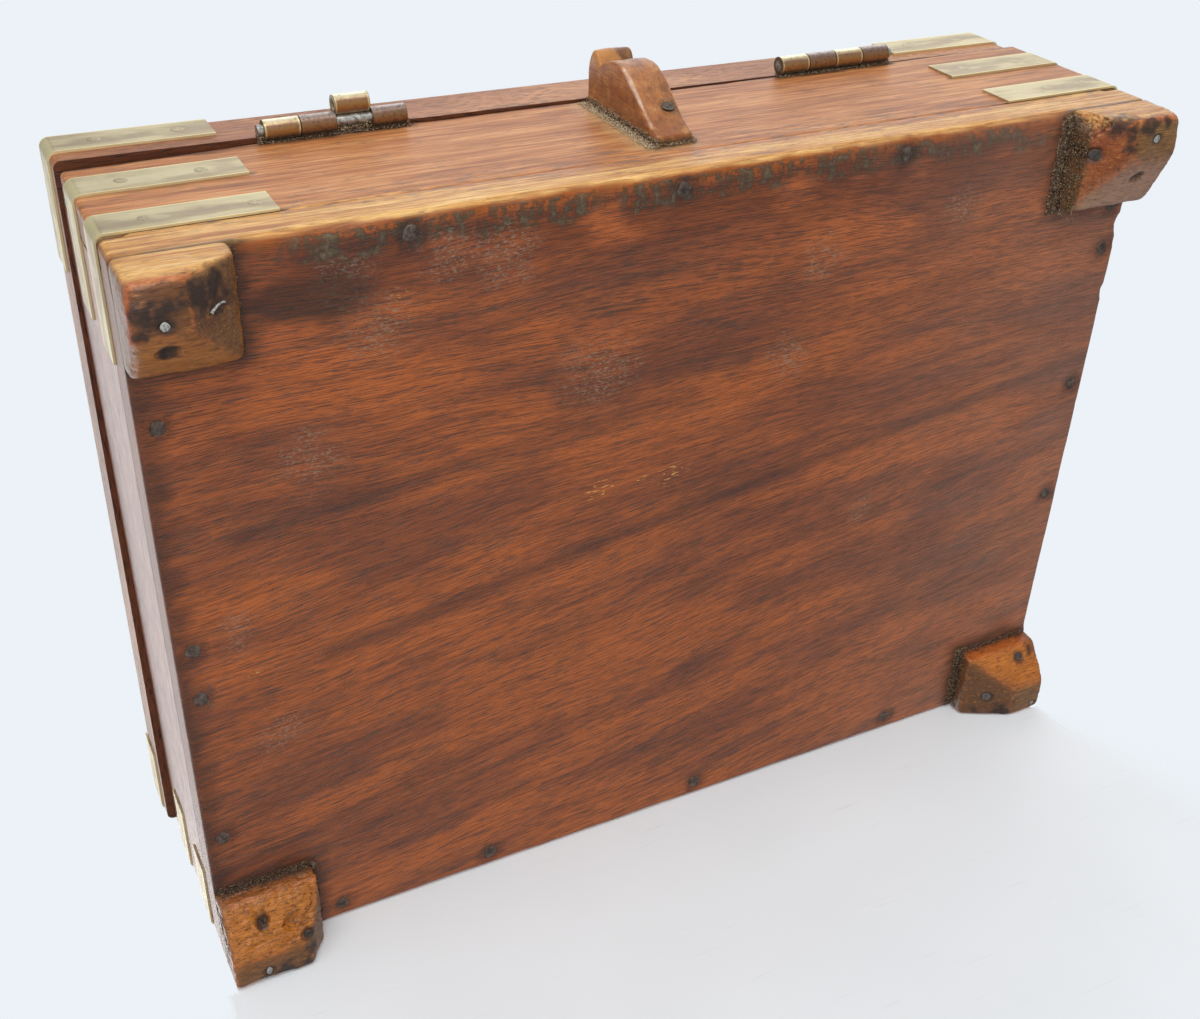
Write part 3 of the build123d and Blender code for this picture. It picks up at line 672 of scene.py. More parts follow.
# Where each foot's nails are, inwards from its corner: in the bevel along x, in the one along y,
# and in the flat, each with its head's two sizes, how proud it is, and how bare and how dirty
FOOT_NAILS = {
    "back_right": ((20.3, 10.4, 1.5, 1.5, -0.2, 0.2, 0.8), (8.3, 18.7, 1.9, 1.1, 0.02, 0.0, 1.0),
                   (7.8, 11.2, 1.15, 1.05, 0.1, 1.0, 0.0)),
    "back_left": ((26.9, 10.1, 1.9, 1.8, 0.6, 0.15, 0.45), (10.7, 18.2, 1.3, 0.8, 0.02, 0.0, 1.0),
                  (8.8, 6.4, 1.2, 1.1, 0.1, 1.0, 0.0)),
    "front_right": ((22.7, 11.9, 1.7, 1.6, 0.3, 0.0, 0.4), (10.8, 19.0, 1.4, 1.4, 0.02, 0.0, 1.0),
                    (10.0, 3.9, 1.5, 0.9, 0.1, 1.0, 0.0)),
    "front_left": ((21.9, 8.4, 1.7, 1.5, 0.3, 0.3, 0.35), (8.5, 21.3, 1.7, 1.6, 0.3, 0.05, 0.35),
                   (3.1, 2.2, 0.9, 0.8, 0.05, 0.9, 0.0)),
}
# Dark stains on each foot: how far in along x and y, how far up, and how big
FOOT_STAINS = {
    "back_right": ((4, 8, 0, 4.0), (7, 10, 0, 3.4), (9, 7, 0, 2.6), (12, 6, 0, 2.2),
                   (17, 6, 2, 4.6), (20, 5, 4, 3.6), (2, 13, 0, 2.2), (22, 8, 7, 2.6)),
    "back_left": ((21, 2, 4, 4.4), (18, 2, 1, 4.6), (14, 2, 0, 3.6), (10, 1.2, 0, 3.2),
                  (6, 1.2, 0, 2.6), (17.5, 5, 0, 2.6), (17.5, 8, 0, 2.2)),
    "front_right": ((20, 17, 4, 2.6), (16, 1, 0, 4.0), (10, 0.5, 0, 3.2), (21, 1.5, 0, 3.4),
                    (24, 6, 2, 3.0)),
    "front_left": ((17, 0.5, 1, 5.0), (3, 22, 9, 4.0), (24, 2, 8, 3.0)),
}


def foot_corner(name):
    """Where a foot's corner of the board is, on the ground."""
    side, end = FEET[name][2:]
    return np.array((BOARD_HIGH[0] if side > 0 else BOARD_LOW[0],
                     BOARD_HIGH[1] if end > 0 else BOARD_LOW[1], 0.0))


def foot_faces(points, name):
    """How far each point lies outside each plane of a foot, in millimetres."""
    flat, step = FOOT_SHAPES[name][:2]
    reach = FEET[name][:2]
    inward_x, inward_y, height = points.T
    outside = [-inward_x, -inward_y, -height]
    for axis in (0, 1):
        slope = (FOOT_HEIGHT - step[axis]) / (reach[axis] - flat[axis])
        below = slope * (points[:, axis] - flat[axis]) - height
        outside.append(below / math.hypot(1, slope))
    outside += [inward_x - reach[0], inward_y - reach[1], height - FOOT_HEIGHT - BURIED]
    return np.stack(outside, axis=1)


def foot_skin(points, name, skin):
    """Above nothing outside a worn foot, below nothing inside it."""
    soft, rough = FOOT_SHAPES[name][2:4]
    height = points[:, 2]
    # the arris under the outer side is rubbed round on the back feet
    rubbed = (1 - step_up(points[:, 1], 3, 8)) * (1 - step_up(height, 3, 8))
    rubbed *= 0.55 if name.startswith("back") else 0.0
    softness = (soft * (0.6 + 0.9 * skin(points / 7.0 + 3)) + rubbed)[:, None]
    outside = np.exp(np.clip(foot_faces(points, name) / softness, -60, 60))
    surface = softness[:, 0] * np.log(outside.sum(axis=1))
    lumps = skin.rough(points / (6.0, 3.5, 3.5), 3)
    fibres = skin(points / (3.0, 0.7, 0.7))
    # the outer sides run on from the board without a step
    free = 0.15 + 0.85 * step_up(FOOT_HEIGHT - height, 0.2, 5.0)
    surface += free * rough * (1.2 * lumps + 0.5 * fibres - 0.5)
    # each nail has a seat, and one driven deep has left a slot
    for nail_x, nail_y, along, across, _, _, dirty in FOOT_NAILS[name]:
        slot = dirty > DRIVEN_DEEP
        gap_x = (points[:, 0] - nail_x) / (along + (0.7 if slot else 0.2))
        gap_y = (points[:, 1] - nail_y) / (across + (0.1 if slot else 0.2))
        inside = 1 - step_up(np.hypot(gap_x, gap_y), 0.8, 1.3)
        surface += (1.5 if slot else 0.35) * inside * (height < FOOT_HEIGHT - 1.5)
    if name == "back_left":
        # a splintered corner by the outer side
        gap = np.linalg.norm((points - (30.0, -1.5, 6.0)) / (1.0, 1.0, 1.3), axis=1)
        surface = np.maximum(surface, 5.5 + 2.2 * fibres - gap)
    if name == "front_right":
        # open pores and a torn hole in the upper bevel
        pits = step_up(skin(points / (2.4, 0.9, 0.9) + 9), 0.66, 0.86)
        surface += 0.55 * pits * step_up(points[:, 1], 10, 13)
        gap = np.linalg.norm((points - (20.0, 16.6, 3.4)) / (1.5, 1.0, 1.0), axis=1)
        surface = np.maximum(surface, 2.2 + 0.8 * fibres - gap)
    return surface


def foot_finish():
    finish, relief = timber(
        "foot wood", 0, (128, 74, 36), (180, 112, 58), (214, 150, 82), (92, 60, 40), offset=1700
    )
    finish.coat(0.76, finish.add("Attribute", {}, attribute_name="tint"))
    blots = finish.noise(finish.spot, 0.55, 4.0, 0.65)
    finish.coat(finish.rise(blots, 0.52, 0.68), (74, 52, 40), 0.35)
    cracks = finish.grain((4.0, 0.8, 0.8), 1.0, 3.0, 0.7)
    finish.coat(finish.rise(cracks, 0.44, 0.28), (66, 38, 22), 0.8)
    pitted = finish.rise(finish.grain((1.6, 1.0, 1.0), 1.3, 3.0, 0.7), 0.54, 0.64)
    finish.coat(finish.times(pitted, finish.mark("pitted")), (78, 44, 20), 0.75)
    finish.coat(finish.rise(cracks, 0.56, 0.74), (228, 156, 66), 0.45)
    finish.coat(finish.mark("outer"), aged(finish)[0])
    # redder, brighter arrises: worn wood with a painted highlight
    wear_and_glow = finish.times(finish.mark("arris"), finish.rise(blots, 0.56, 0.40))
    finish.coat(wear_and_glow, (206, 112, 54), 0.5)
    finish.coat(finish.mark("grime"), (42, 32, 28))
    return wood_surface(finish, relief, rough=0.40, depth=0.00012)


foot_wood = foot_finish()


def foot(name, seed):
    reach_x, reach_y, side, end = FEET[name]
    flat, *_, tints = FOOT_SHAPES[name]
    skin = Noise(seed)
    points, faces = shell(
        np.linspace(0, reach_x, 64), np.linspace(0, reach_y, 64), np.linspace(0, FOOT_HEIGHT, 34)
    )
    # each point goes out from the middle until it comes through the worn skin
    middle = 0.62 * np.array((*flat, FOOT_HEIGHT))
    rays = (points - middle) * 1.6
    near, far = np.zeros(len(points)), np.ones(len(points))
    for _ in range(24):
        half = (near + far) / 2
        inside = foot_skin(middle + rays * half[:, None], name, skin) < 0
        near, far = np.where(inside, half, near), np.where(inside, far, half)
    points = middle + rays * near[:, None]
    height = points[:, 2] = np.minimum(points[:, 2], FOOT_HEIGHT + 0.1)
    placed = foot_corner(name) + points * (-side, -end, 1)
    placed[:, 2] = np.maximum(placed[:, 2], 0.0)
    if side * end < 0:
        faces = faces[:, ::-1]
    made = piece("foot_" + name + "_worn", placed, faces, foot_wood)
    shares = np.exp(foot_faces(points, name)[:, :7] / 0.5)
    shares /= shares.sum(axis=1, keepdims=True)
    colours = np.array([paint(*tint) for tint in tints])
    blotch = 0.78 + 0.44 * skin.rough(points / (5.0, 3.0, 3.0) + 17, 3)
    tint = shares @ colours * blotch[:, None]
    # the lower arris of the outer sides is rubbed to a redder brown
    lower = (1 - step_up(height, 1.2, 4.2)) * (shares[:, 0] + shares[:, 1])
    tint += (lower * 0.8)[:, None] * (np.array(paint(206, 96, 46)) - tint)
    layer = made.data.attributes.new("tint", "FLOAT_COLOR", "POINT")
    layer.data.foreach_set("color", tint.astype(np.float32).ravel())
    mark(made, "arris", step_up(1 - shares.max(axis=1), 0.25, 0.5) * (height < 12))
    outer = shares[:, 1] * step_up(height + 2 * skin(points / 2.5), 3.4, 5.4)
    mark(made, "outer", outer * (0.85 if end > 0 else 0.0))
    mark(made, "pitted", (shares[:, 4] + shares[:, 6]) * (name == "front_right"))
    ragged = skin.rough(points / 1.8 + 5, 3) - 0.5
    grime = [step_up(height + 3 * ragged, 10.0, 14.5) * (shares[:, 5:].sum(axis=1))]
    for *spot, size in FOOT_STAINS[name]:
        gap = np.linalg.norm(points - spot, axis=1) / size
        grime.append(1 - step_up(gap + 1.9 * ragged, 0.3, 1.3))
    for nail_x, nail_y, along, across, _, _, dirty in FOOT_NAILS[name]:
        gap = np.hypot(points[:, 0] - nail_x, points[:, 1] - nail_y) - max(along, across)
        round_nail = (1 - step_up(gap + 1.2 * ragged, 0.2, 1.1)) * (height < FOOT_HEIGHT - 1.5)
        grime.append(round_nail * (1.1 if dirty > DRIVEN_DEEP else 0.7))
    mark(made, "grime", np.clip(0.85 * np.max(grime, axis=0), 0, 1))
    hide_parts("foot_" + name)
    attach(made, "case")


for seed, name in enumerate(FEET, 21):
    foot(name, seed)

# ---------------------------------------------------------------------------------------------
# Dirt. Crumbs of glue, dust and old polish are caked in the corners round the feet, under the
# hinges and along the foot of the stop block.
# ---------------------------------------------------------------------------------------------


def crumb_shape():
    """A ball of twelve points, to be knocked out of shape."""
    golden = (1 + 5**0.5) / 2
    ball = []
    for a in (-1, 1):
        for b in (-golden, golden):
            ball += [(0, a, b), (a, b, 0), (b, 0, a)]
    ball = np.array(ball) / math.hypot(1, golden)
    gap = np.linalg.norm(ball[:, None] - ball[None], axis=2)
    near = gap < 1.2
    faces = []
    for i, j, k in itertools.combinations(range(12), 3):
        if near[i, j] and near[j, k] and near[i, k]:
            outward = np.cross(ball[j] - ball[i], ball[k] - ball[i]) @ ball[i] > 0
            faces.append((i, j, k) if outward else (i, k, j))
    return ball, np.array(faces)


def crumb_finish():
    finish = Finish("crumbs")
    patch = finish.noise(finish.spot, 0.8, 3.0, 0.7)
    finish.colour = finish.tones(
        patch, (0.34, (74, 56, 44)), (0.50, (136, 108, 80)), (0.68, (190, 166, 132))
    )
    # marked above 0 for darker and below 0 for paler
    cast = finish.mark("dark")
    finish.coat(finish.maths("MULTIPLY", cast, 1.0, clamp=True), (48, 37, 31))
    finish.coat(finish.maths("MULTIPLY", cast, -1.0, clamp=True), (206, 186, 152))
    return finish.close(0.85)


crumb_material = crumb_finish()


def crumbs(name, seed, strips):
    """Crumbs along strips. Each strip has its two ends, the ways it is wide and deep with how
    wide and deep it is, how many crumbs it has, how big they are, and how dark."""
    dice = np.random.default_rng(seed)
    ball, sides = crumb_shape()
    points, faces, darkness = [], [], []
    for start, end, wide, deep, count, size, dark in strips:
        start, end, wide, deep = (np.array(part, float) for part in (start, end, wide, deep))
        for _ in range(count):
            spot = start + (end - start) * dice.random()
            spot += wide * dice.random() ** 1.3 + deep * dice.random() ** 1.5
            lump = ball * (0.6 + 0.8 * dice.random((12, 1))) * dice.uniform(0.5, 1.0, 3)
            faces.append(sides + 12 * len(points))
            points.append(spot + lump * size * dice.uniform(0.45, 1.0))
            darkness.append(np.full(12, dark * dice.uniform(0.6, 1.0)))
    made = piece(name, np.concatenate(points), np.concatenate(faces), crumb_material)
    mark(made, "dark", np.concatenate(darkness))
    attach(made, "case")


def round_foot(name, x_strip, y_strip):
    """Strips along the two steps of a foot, each with how far it spreads over the board and up
    the step, its count, size and darkness."""
    reach_x, reach_y, side, end = FEET[name]
    corner = foot_corner(name) + (0, 0, FOOT_HEIGHT)
    along_x, along_y = np.array((-side, 0, 0)), np.array((0, -end, 0))
    for first, reach, second, run, (over, up, count, size, dark) in (
        (along_x, reach_x, along_y, reach_y, x_strip), (along_y, reach_y, along_x, reach_x, y_strip)
    ):
        root = corner + first * (reach - 0.2)
        ends = root + second, root + second * (run + over / 2)
        yield (*ends, first * over, (0, 0, -0.5), count * 2 // 3, size, dark)
        yield (*ends, first * 0.4, (0, 0, -up), count // 2, size, dark)


crumbs("crumbs_feet", 31, [
    *round_foot("back_left", (3.6, 8.5, 2100, 0.36, 0.42), (1.2, 1.0, 90, 0.3, 0.6)),
    *round_foot("back_right", (1.2, 1.2, 220, 0.32, 0.7), (1.2, 1.0, 160, 0.32, 0.7)),
    *round_foot("front_right", (1.6, 1.4, 240, 0.34, 0.6), (2.2, 2.4, 620, 0.38, 0.8)),
    *round_foot("front_left", (2.6, 3.0, 620, 0.38, 0.6), (1.6, 1.6, 340, 0.36, 0.6)),
])

# ---------------------------------------------------------------------------------------------
# Stop block. One piece of dark wood nailed and glued to the middle of the back, notched at its
# crest, that the open lid leans on. It is handled smooth, and glue and dirt have caked round it.
# ---------------------------------------------------------------------------------------------


def worn_copy(node, voxel, wear, seed, finish):
    """A machined piece cast again in small even faces, then rubbed and knocked about."""
    source = bpy.data.objects.new("source", frame["nodes"][node].data.copy())
    bpy.context.scene.collection.objects.link(source)
    cast = source.modifiers.new("cast", "REMESH")
    cast.mode = "VOXEL"
    cast.voxel_size = voxel / 1000
    soften = source.modifiers.new("soften", "SMOOTH")
    soften.factor = 0.5
    soften.iterations = 4
    depsgraph = bpy.context.evaluated_depsgraph_get()
    mesh = bpy.data.meshes.new_from_object(source.evaluated_get(depsgraph))
    bpy.data.objects.remove(source)
    points, normals = np.empty((2, len(mesh.vertices) * 3))
    mesh.vertices.foreach_get("co", points)
    mesh.vertices.foreach_get("normal", normals)
    points, normals = points.reshape(-1, 3) * 1000, normals.reshape(-1, 3)
    points -= normals * wear * Noise(seed).rough(points / (3.0, 3.0, 6.0), 4)[:, None]
    mesh.materials.clear()
    mesh.materials.append(finish)
    mesh.shade_smooth()
    mesh.name = node + "_worn"
    made = bpy.data.objects.new(mesh.name, mesh)
    bpy.context.scene.collection.objects.link(made)
    return made, points


BLOCK_MIDDLE = (BLOCK_LOW[0] + BLOCK_HIGH[0]) / 2
# The nail in the slope, and which way the slope faces
SLOPE_NAIL = np.array((BLOCK_MIDDLE - 2.3, BLOCK_LOW[1] + 7.8, RIM - 34.2))
SLOPE_OUT = np.array((0.0, 0.848, -0.53))


def block_finish():
    finish, relief = timber(
        "block wood", 2, (108, 60, 34), (156, 94, 54), (192, 126, 74), (92, 64, 46),
        offset=2100, grain=0.5,
    )
    patch = finish.noise(finish.spot, 0.35, 4.0, 0.6)
    finish.coat(finish.rise(patch, 0.5, 0.66), (96, 66, 50), 0.4)
    finish.coat(finish.rise(patch, 0.46, 0.34), (196, 146, 88), 0.5)
    finish.coat(finish.mark("gold"), (206, 146, 82))
    finish.coat(finish.mark("bright"), (236, 214, 196))
    finish.coat(finish.mark("grime"), (92, 74, 54))
    return wood_surface(finish, relief, rough=0.36, depth=0.00006)


def stop_block():
    made, points = worn_copy("stop_block", 0.42, 0.35, 41, block_finish())
    # the crest is rubbed into a dome
    x, y, z = points.T
    aside = np.abs(x - BLOCK_MIDDLE) / (BLOCK_HIGH[0] - BLOCK_MIDDLE)
    z -= 1.5 * aside**3 * step_up(z, BLOCK_HIGH[2] - 8, BLOCK_HIGH[2])
    made.data.vertices.foreach_set("co", (points / 1000).ravel())
    out = y - BLOCK_LOW[1]
    ragged = Noise(42).rough(points / 2.5, 3) - 0.5
    # the far lobe is rubbed golden on top towards the right end, and grey beside that
    top = step_up(z, BLOCK_HIGH[2] - 8.8, BLOCK_HIGH[2] - 7.8) * step_up(out, 10, 12.5)
    to_right = step_up(x - BLOCK_MIDDLE + 5 * ragged, -1.0, 1.0)
    mark(made, "gold", (0.6 + 0.5 * ragged) * top * to_right)
    grime = 0.9 * (1 - step_up(out + 2.5 * ragged, 0.6, 2.2))
    gap = np.linalg.norm(points - SLOPE_NAIL, axis=1)
    around = 0.55 * (1 - step_up(gap + 2.0 * ragged, 1.9, 3.0))
    mark(made, "grime", np.maximum.reduce((grime, around, 0.45 * top * (1 - to_right))))
    # the arris of the slope nearest the right end catches the light where it is rubbed
    arris = 1 - step_up(np.abs((points - SLOPE_NAIL) @ SLOPE_OUT + 0.4), 0.15, 0.8)
    arris *= step_up(x - BLOCK_MIDDLE, 4.3, 5.0) * step_up(z, 36, 38)
    mark(made, "bright", arris * (0.35 + 0.5 * step_up(ragged, -0.2, 0.1)))
    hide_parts("stop_block")
    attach(made, "case")
    left, right = BLOCK_LOW[0], BLOCK_HIGH[0]
    back, low, high = BLOCK_LOW[1] + 0.1, BLOCK_LOW[2], BLOCK_HIGH[2]
    crumbs("crumbs_stop_block", 43, [
        ((left + 0.3, back, low), (left + 0.3, back, high - 3), (-1.6, 0, 0), (0, 0.6, 0),
         620, 0.30, 0.0),
        ((right - 0.4, back, low - 1), (right - 0.4, back, high - 2), (1.0, 0, 0), (0, 2.2, 0),
         800, 0.34, -0.1),
        ((right - 0.2, back, low - 1), (right - 0.2, back, high - 2), (3.4, 0, 0), (0, 0.4, 0),
         1300, 0.26, -0.9),
        ((left, back, low + 0.3), (right, back, low + 0.3), (0, 0, -1.5), (0, 0.6, 0),
         180, 0.30, 0.1),
        # round and over the nail in the slope
        (SLOPE_NAIL + (-1.9, 1.2, 1.6), SLOPE_NAIL + (1.9, 1.2, 1.6), (0, -1.7, -2.7),
         (0, 0.1, 0), 70, 0.24, 0.35),
    ])


stop_block()

# ---------------------------------------------------------------------------------------------
# Nails. Hand-forged iron with square shanks, their heads hammered nearly flush and brown with
# rust; a small bright brad in the flat of each foot, and one on a bevel bent over and left.
# ---------------------------------------------------------------------------------------------


def iron_finish():
    finish = Finish("nail iron")
    rust = finish.noise(finish.spot, 0.5, 4.0, 0.7)
    finish.colour = finish.tones(
        rust, (0.34, (62, 49, 42)), (0.50, (96, 79, 69)), (0.68, (130, 113, 101))
    )
    bright = finish.noise(finish.spot, 1.6, 3.0, 0.6)
    bare = finish.mix(finish.rise(bright, 0.35, 0.6), (132, 128, 122), (196, 194, 188))
    finish.coat(finish.mark("bare"), bare)
    finish.coat(finish.mark("grime"), (26, 20, 17))
    return finish.close(finish.line(rust, 0.3, 0.40), 0.35, rust)


iron = iron_finish()


def frame_at(outwards):
    """A direction at full length, and two more square to it."""
    outwards = np.array(outwards, float) / np.linalg.norm(outwards)
    first = np.cross(outwards, (0.0, 0.0, 1.0) if abs(outwards[2]) < 0.9 else (1.0, 0.0, 0.0))
    first /= np.linalg.norm(first)
    return outwards, first, np.cross(outwards, first)


AROUND = 24  # points round a nail's head or a screw's


def circle(count, first, second):
    """Points evenly round a circle, or an ellipse, from its two radii."""
    turns = np.linspace(0, 2 * np.pi, count, endpoint=False)[:, None]
    return first * np.cos(turns) + second * np.sin(turns)


def ring_faces(rings, count, start=0):
    """The faces between rings of as many points, one ring after the other."""
    faces = []
    for ring in range(rings - 1):
        here = start + ring * count
        for i in range(count):
            j = (i + 1) % count
            faces.append((here + i, here + count + i, here + count + j, here + j))
    return faces


def nail_set(node, seed, nails):
    """Nails in one piece. Each has its place on the surface, the way out, the size of its head
    along and across, how proud it stands, its length, and how bare and how dirty it is."""
    dice = np.random.default_rng(seed)
    rings = np.array((0.0, 0.4, 0.75, 0.93, 1.0, 0.97, 0.5))
    rises = np.array((0.0, -0.01, -0.05, -0.12, -0.26, -0.6, -0.7))
    head = len(rings) * AROUND
    points, faces, bare_marks, grime_marks = [], [], [], []
    for number, (spot, way, along, across, proud, length, bare, grime) in enumerate(nails):
        out, first, second = frame_at(way)
        # the head is lopsided and dented
        wobble = 1 + 0.42 * (np.convolve(dice.random(AROUND + 2), np.ones(3) / 3, "valid") - 0.5)
        dents = 0.16 * dice.random((len(rings), AROUND))
        away = circle(AROUND, first * along, second * across)
        for ring, rise, dent in zip(rings, rises, dents):
            up = proud + rise - dent * (ring < 0.9)
            points.append(spot + away * ring * wobble[:, None] + out * up[:, None])
            grime_marks.append(np.full(AROUND, max(grime, 0.75 if rise < -0.2 else 0.0)))
        thick = min(along, across) * 0.42
        for depth, share in ((0.6, 1.0), (length, 0.6)):
            for side, end in ((-1, -1), (1, -1), (1, 1), (-1, 1)):
                step = (first * side + second * end) * thick * share
                points.append((spot + step - out * depth)[None])
        grime_marks.append(np.full(8, 0.5))
        bare_marks.append(np.full(head + 8, bare))
        base = number * (head + 8)
        shank = base + head
        faces += ring_faces(len(rings), AROUND, base) + ring_faces(2, 4, shank)
        faces.append((shank + 7, shank + 6, shank + 5, shank + 4))
    points = np.concatenate(points)
    points[:, 2] = np.maximum(points[:, 2], 0.0)
    made = piece(node + "_worn", points, faces, iron)
    mark(made, "bare", np.concatenate(bare_marks))
    mark(made, "grime", np.concatenate(grime_marks))
    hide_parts(node)
    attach(made, "case")


nail_set("bottom_nails", 61, [
    (np.array((BOARD_HIGH[0] - x, BOARD_HIGH[1] - y, BOARD_LOW[2] + 0.30)), (0, 0, -1),
     2.2, 2.0, 0.25, 20.0, 0.0, 0.05)
    for x, y in NAILS
])


def surface_under(made, spot, way):
    """Where a line meets a piece, in millimetres, and the way out of it there."""
    bpy.context.view_layer.update()
    where, out = made.ray_cast(Vector(spot) / 1000, Vector(way))[1:3]
    return np.array(where) * 1000, np.array(out)


def foot_nails():
    nails = []
    for name, (_, _, side, end) in FEET.items():
        worn = bpy.data.objects["foot_" + name + "_worn"]
        for x, y, along, across, proud, bare, grime in FOOT_NAILS[name]:
            below = foot_corner(name) - (side * x, end * y, 20)
            spot, out = surface_under(worn, below, (0, 0, 1))
            # a nail in the flat stays square to it
            if spot[2] < 0.8:
                spot, out = np.array((*below[:2], 0.15)), (0, 0, -1)
            nails.append((spot, out, along, across, proud, 12.0, bare, grime))
    nail_set("foot_nails", 62, nails)


foot_nails()


def stop_nails():
    notch_from = (BLOCK_MIDDLE - 0.2, BLOCK_HIGH[1] + 10, RIM - 8.4)
    notch_spot = surface_under(bpy.data.objects["stop_block_worn"], notch_from, (0, -1, 0))[0]
    nail_set("stop_nails", 63, [
        (SLOPE_NAIL, SLOPE_OUT, 1.9, 1.45, -0.2, 14.0, 0.2, 0.1),
        (notch_spot, (0, 1, 0), 0.9, 0.8, 0.1, 14.0, 0.0, 0.5),
    ])


stop_nails()


def bent_nail():
    """A thin nail bent over on the bevel of the back right foot."""
    worn = bpy.data.objects["foot_back_right_worn"]
    rings, count = 9, 8
    path = []
    for share in np.linspace(0, 1, rings):
        x = 18.2 + 4.0 * share
        y = 11.4 - 1.2 * share - 0.5 * math.sin(math.pi * share)
        spot, out = surface_under(worn, (BOARD_HIGH[0] - x, BOARD_HIGH[1] - y, -20), (0, 0, 1))
        path.append(spot + out * 0.3)
    points = []
    for spot, way, thick in zip(path, np.gradient(path, axis=0), np.linspace(0.42, 0.24, rings)):
        points.append(spot + thick * circle(count, *frame_at(way)[1:]))
    faces = np.array(ring_faces(rings, count))[:, ::-1]
    made = piece("bent_nail", np.concatenate(points), faces, iron)
    mark(made, "bare", np.ones(rings * count))
    mark(made, "grime", np.zeros(rings * count))
    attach(made, "case")


bent_nail()

# ---------------------------------------------------------------------------------------------
# Corner straps. Sheet brass cut into strips and bent round the corners, fixed by small brass pins
# filed nearly flush. Polished bright along the edges and brown with tarnish between them, with
# painted highlights along the edges and round the bends.
# ---------------------------------------------------------------------------------------------


def strap_finish(name, low, high):
    finish = Finish(name)
    cloud = finish.grain((26.0, 26.0, 7.0), 1.0, 4.0)
    brushed = finish.grain((26.0, 26.0, 0.25), 1.0, 2.0, 0.6)
    finish.colour = finish.tones(
        cloud, (0.38, (182, 165, 130)), (0.50, (203, 188, 148)), (0.62, (213, 200, 160))
    )
    finish.coat(finish.rise(brushed, 0.6, 0.3), (140, 122, 92), 0.12)
    # tarnished violet-brown away from the edges, where no cloth reaches
    off_middle = finish.maths("ABSOLUTE", finish.less(finish.z, (low + high) / 2))
    half = (high - low) / 2
    inner = finish.rise(off_middle, half - 0.8, half - 4.0)
    finish.coat(finish.times(inner, finish.rise(cloud, 0.56, 0.44)), (156, 136, 116), 0.5)
    # bright along the edges: polished, with a painted highlight
    finish.coat(finish.rise(off_middle, half - 0.7, half - 0.2), (240, 226, 176), 0.85)
    # a painted highlight round the bend
    facing = finish.facing()
    bend_highlight = finish.maths("ABSOLUTE", finish.times(facing[0], facing[1]))
    finish.coat(finish.rise(bend_highlight, 0.05, 0.35), (236, 222, 168), 0.7)
    specks = finish.noise(finish.spot, 0.8, 3.0, 0.7)
    finish.coat(finish.rise(specks, 0.68, 0.76), (110, 94, 70), 0.4)
    dents = finish.noise(finish.spot, 0.10)
    relief = finish.line(dents, 3.0, finish.times(brushed, 0.05))
    return finish.close(finish.line(specks, 0.2, 0.34), 0.7, relief, 0.00012)


CORNERS = {corner: foot[2:] for corner, foot in FEET.items()}
for level, prefix, suffix in (("lower", "strap_", "_lower"), ("upper", "strap_", "_upper"),
                              ("lid", "lid_strap_", "")):
    nodes = [prefix + corner + suffix for corner in CORNERS]
    low, high = (corner[2] * 1000 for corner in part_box(nodes[0]))
    strap_brass = strap_finish(level + " strap brass", low, high)
    for node in nodes:
        finish_node(node, strap_brass)


def pin_finish():
    finish = Finish("strap pin brass")
    tarnish = finish.noise(finish.spot, 1.2, 3.0, 0.6)
    finish.colour = finish.tones(tarnish, (0.38, (164, 148, 116)), (0.62, (196, 184, 146)))
    # dirt, and the painted shade round the pins' rims
    finish.coat(finish.mark("grime"), (70, 56, 42))
    return finish.close(finish.line(tarnish, 0.2, 0.3), 0.85)


# Each corner's pins: distances from the corner along the back or front, then along the side, for
# its lower, upper and lid straps
PINS = {
    "back_right": (((12.9, 38.3), (11, 27)), ((12.7, 32), (12, 26)), ((13, 34), (10, 26))),
    "back_left": (((8.2, 23), (10, 26)), ((13.6, 33.8), (11, 27)), ((12.9, 33), (11, 26))),
    "front_right": (((11, 35), (8, 19)), ((12, 33), (9, 18)), ((10, 34), (8, 19))),
    "front_left": (((12, 34), (9, 19)), ((10, 35), (8, 18)), ((11, 33), (9, 18))),
}


def strap_pins(name, body, straps):
    """Round pins in one piece. Each strap has its node, its corner, and where its pins are."""
    count = 28
    turns = np.linspace(0, 2 * np.pi, count, endpoint=False)
    profile = ((0.0, 0.0), (1.0, 0.0), (1.6, -0.01), (1.75, -0.05), (1.9, -0.4))
    points, faces, grime = [], [], []
    for node, side, end, (along_back, along_side) in straps:
        low, high = corners(node)
        middle = (low[2] + high[2]) / 2
        edge_x = high[0] if side > 0 else low[0]
        edge_y = high[1] if end > 0 else low[1]
        rays = [((edge_x - side * gap, edge_y + end * 20, middle), (0, -end, 0), 0.04)
                for gap in along_back]
        rays += [((edge_x + side * 20, edge_y - end * gap, middle), (-side, 0, 0), 0.01)
                 for gap in along_side]
        for start, way, lift in rays:
            spot, out = surface_under(frame["nodes"][node], start, way)
            out, first, second = frame_at(out)
            faces += ring_faces(len(profile), count, len(points) * count)
            away = circle(count, first, second)
            for ring, rise in profile:
                points.append(spot + away * ring + out * (rise + lift))
                # a patchy dark ring round each pin's rim: dirt and painted shade where it sinks
                # into the strap
                patchy = 0.35 + 0.45 * np.sin(turns * 1.5 + len(points)) ** 2
                grime.append(patchy * (ring > 1.65))
    made = piece(name, np.concatenate(points), faces, pin_brass)
    mark(made, "grime", np.concatenate(grime))
    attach(made, body)


pin_brass = pin_finish()
strap_pins("case_strap_pins", "case", [
    (f"strap_{corner}_{level}", side, end, PINS[corner][i])
    for corner, (side, end) in CORNERS.items() for i, level in enumerate(("lower", "upper"))
])
strap_pins("lid_strap_pins", "lid", [
    (f"lid_strap_{corner}", side, end, PINS[corner][2]) for corner, (side, end) in CORNERS.items()
])

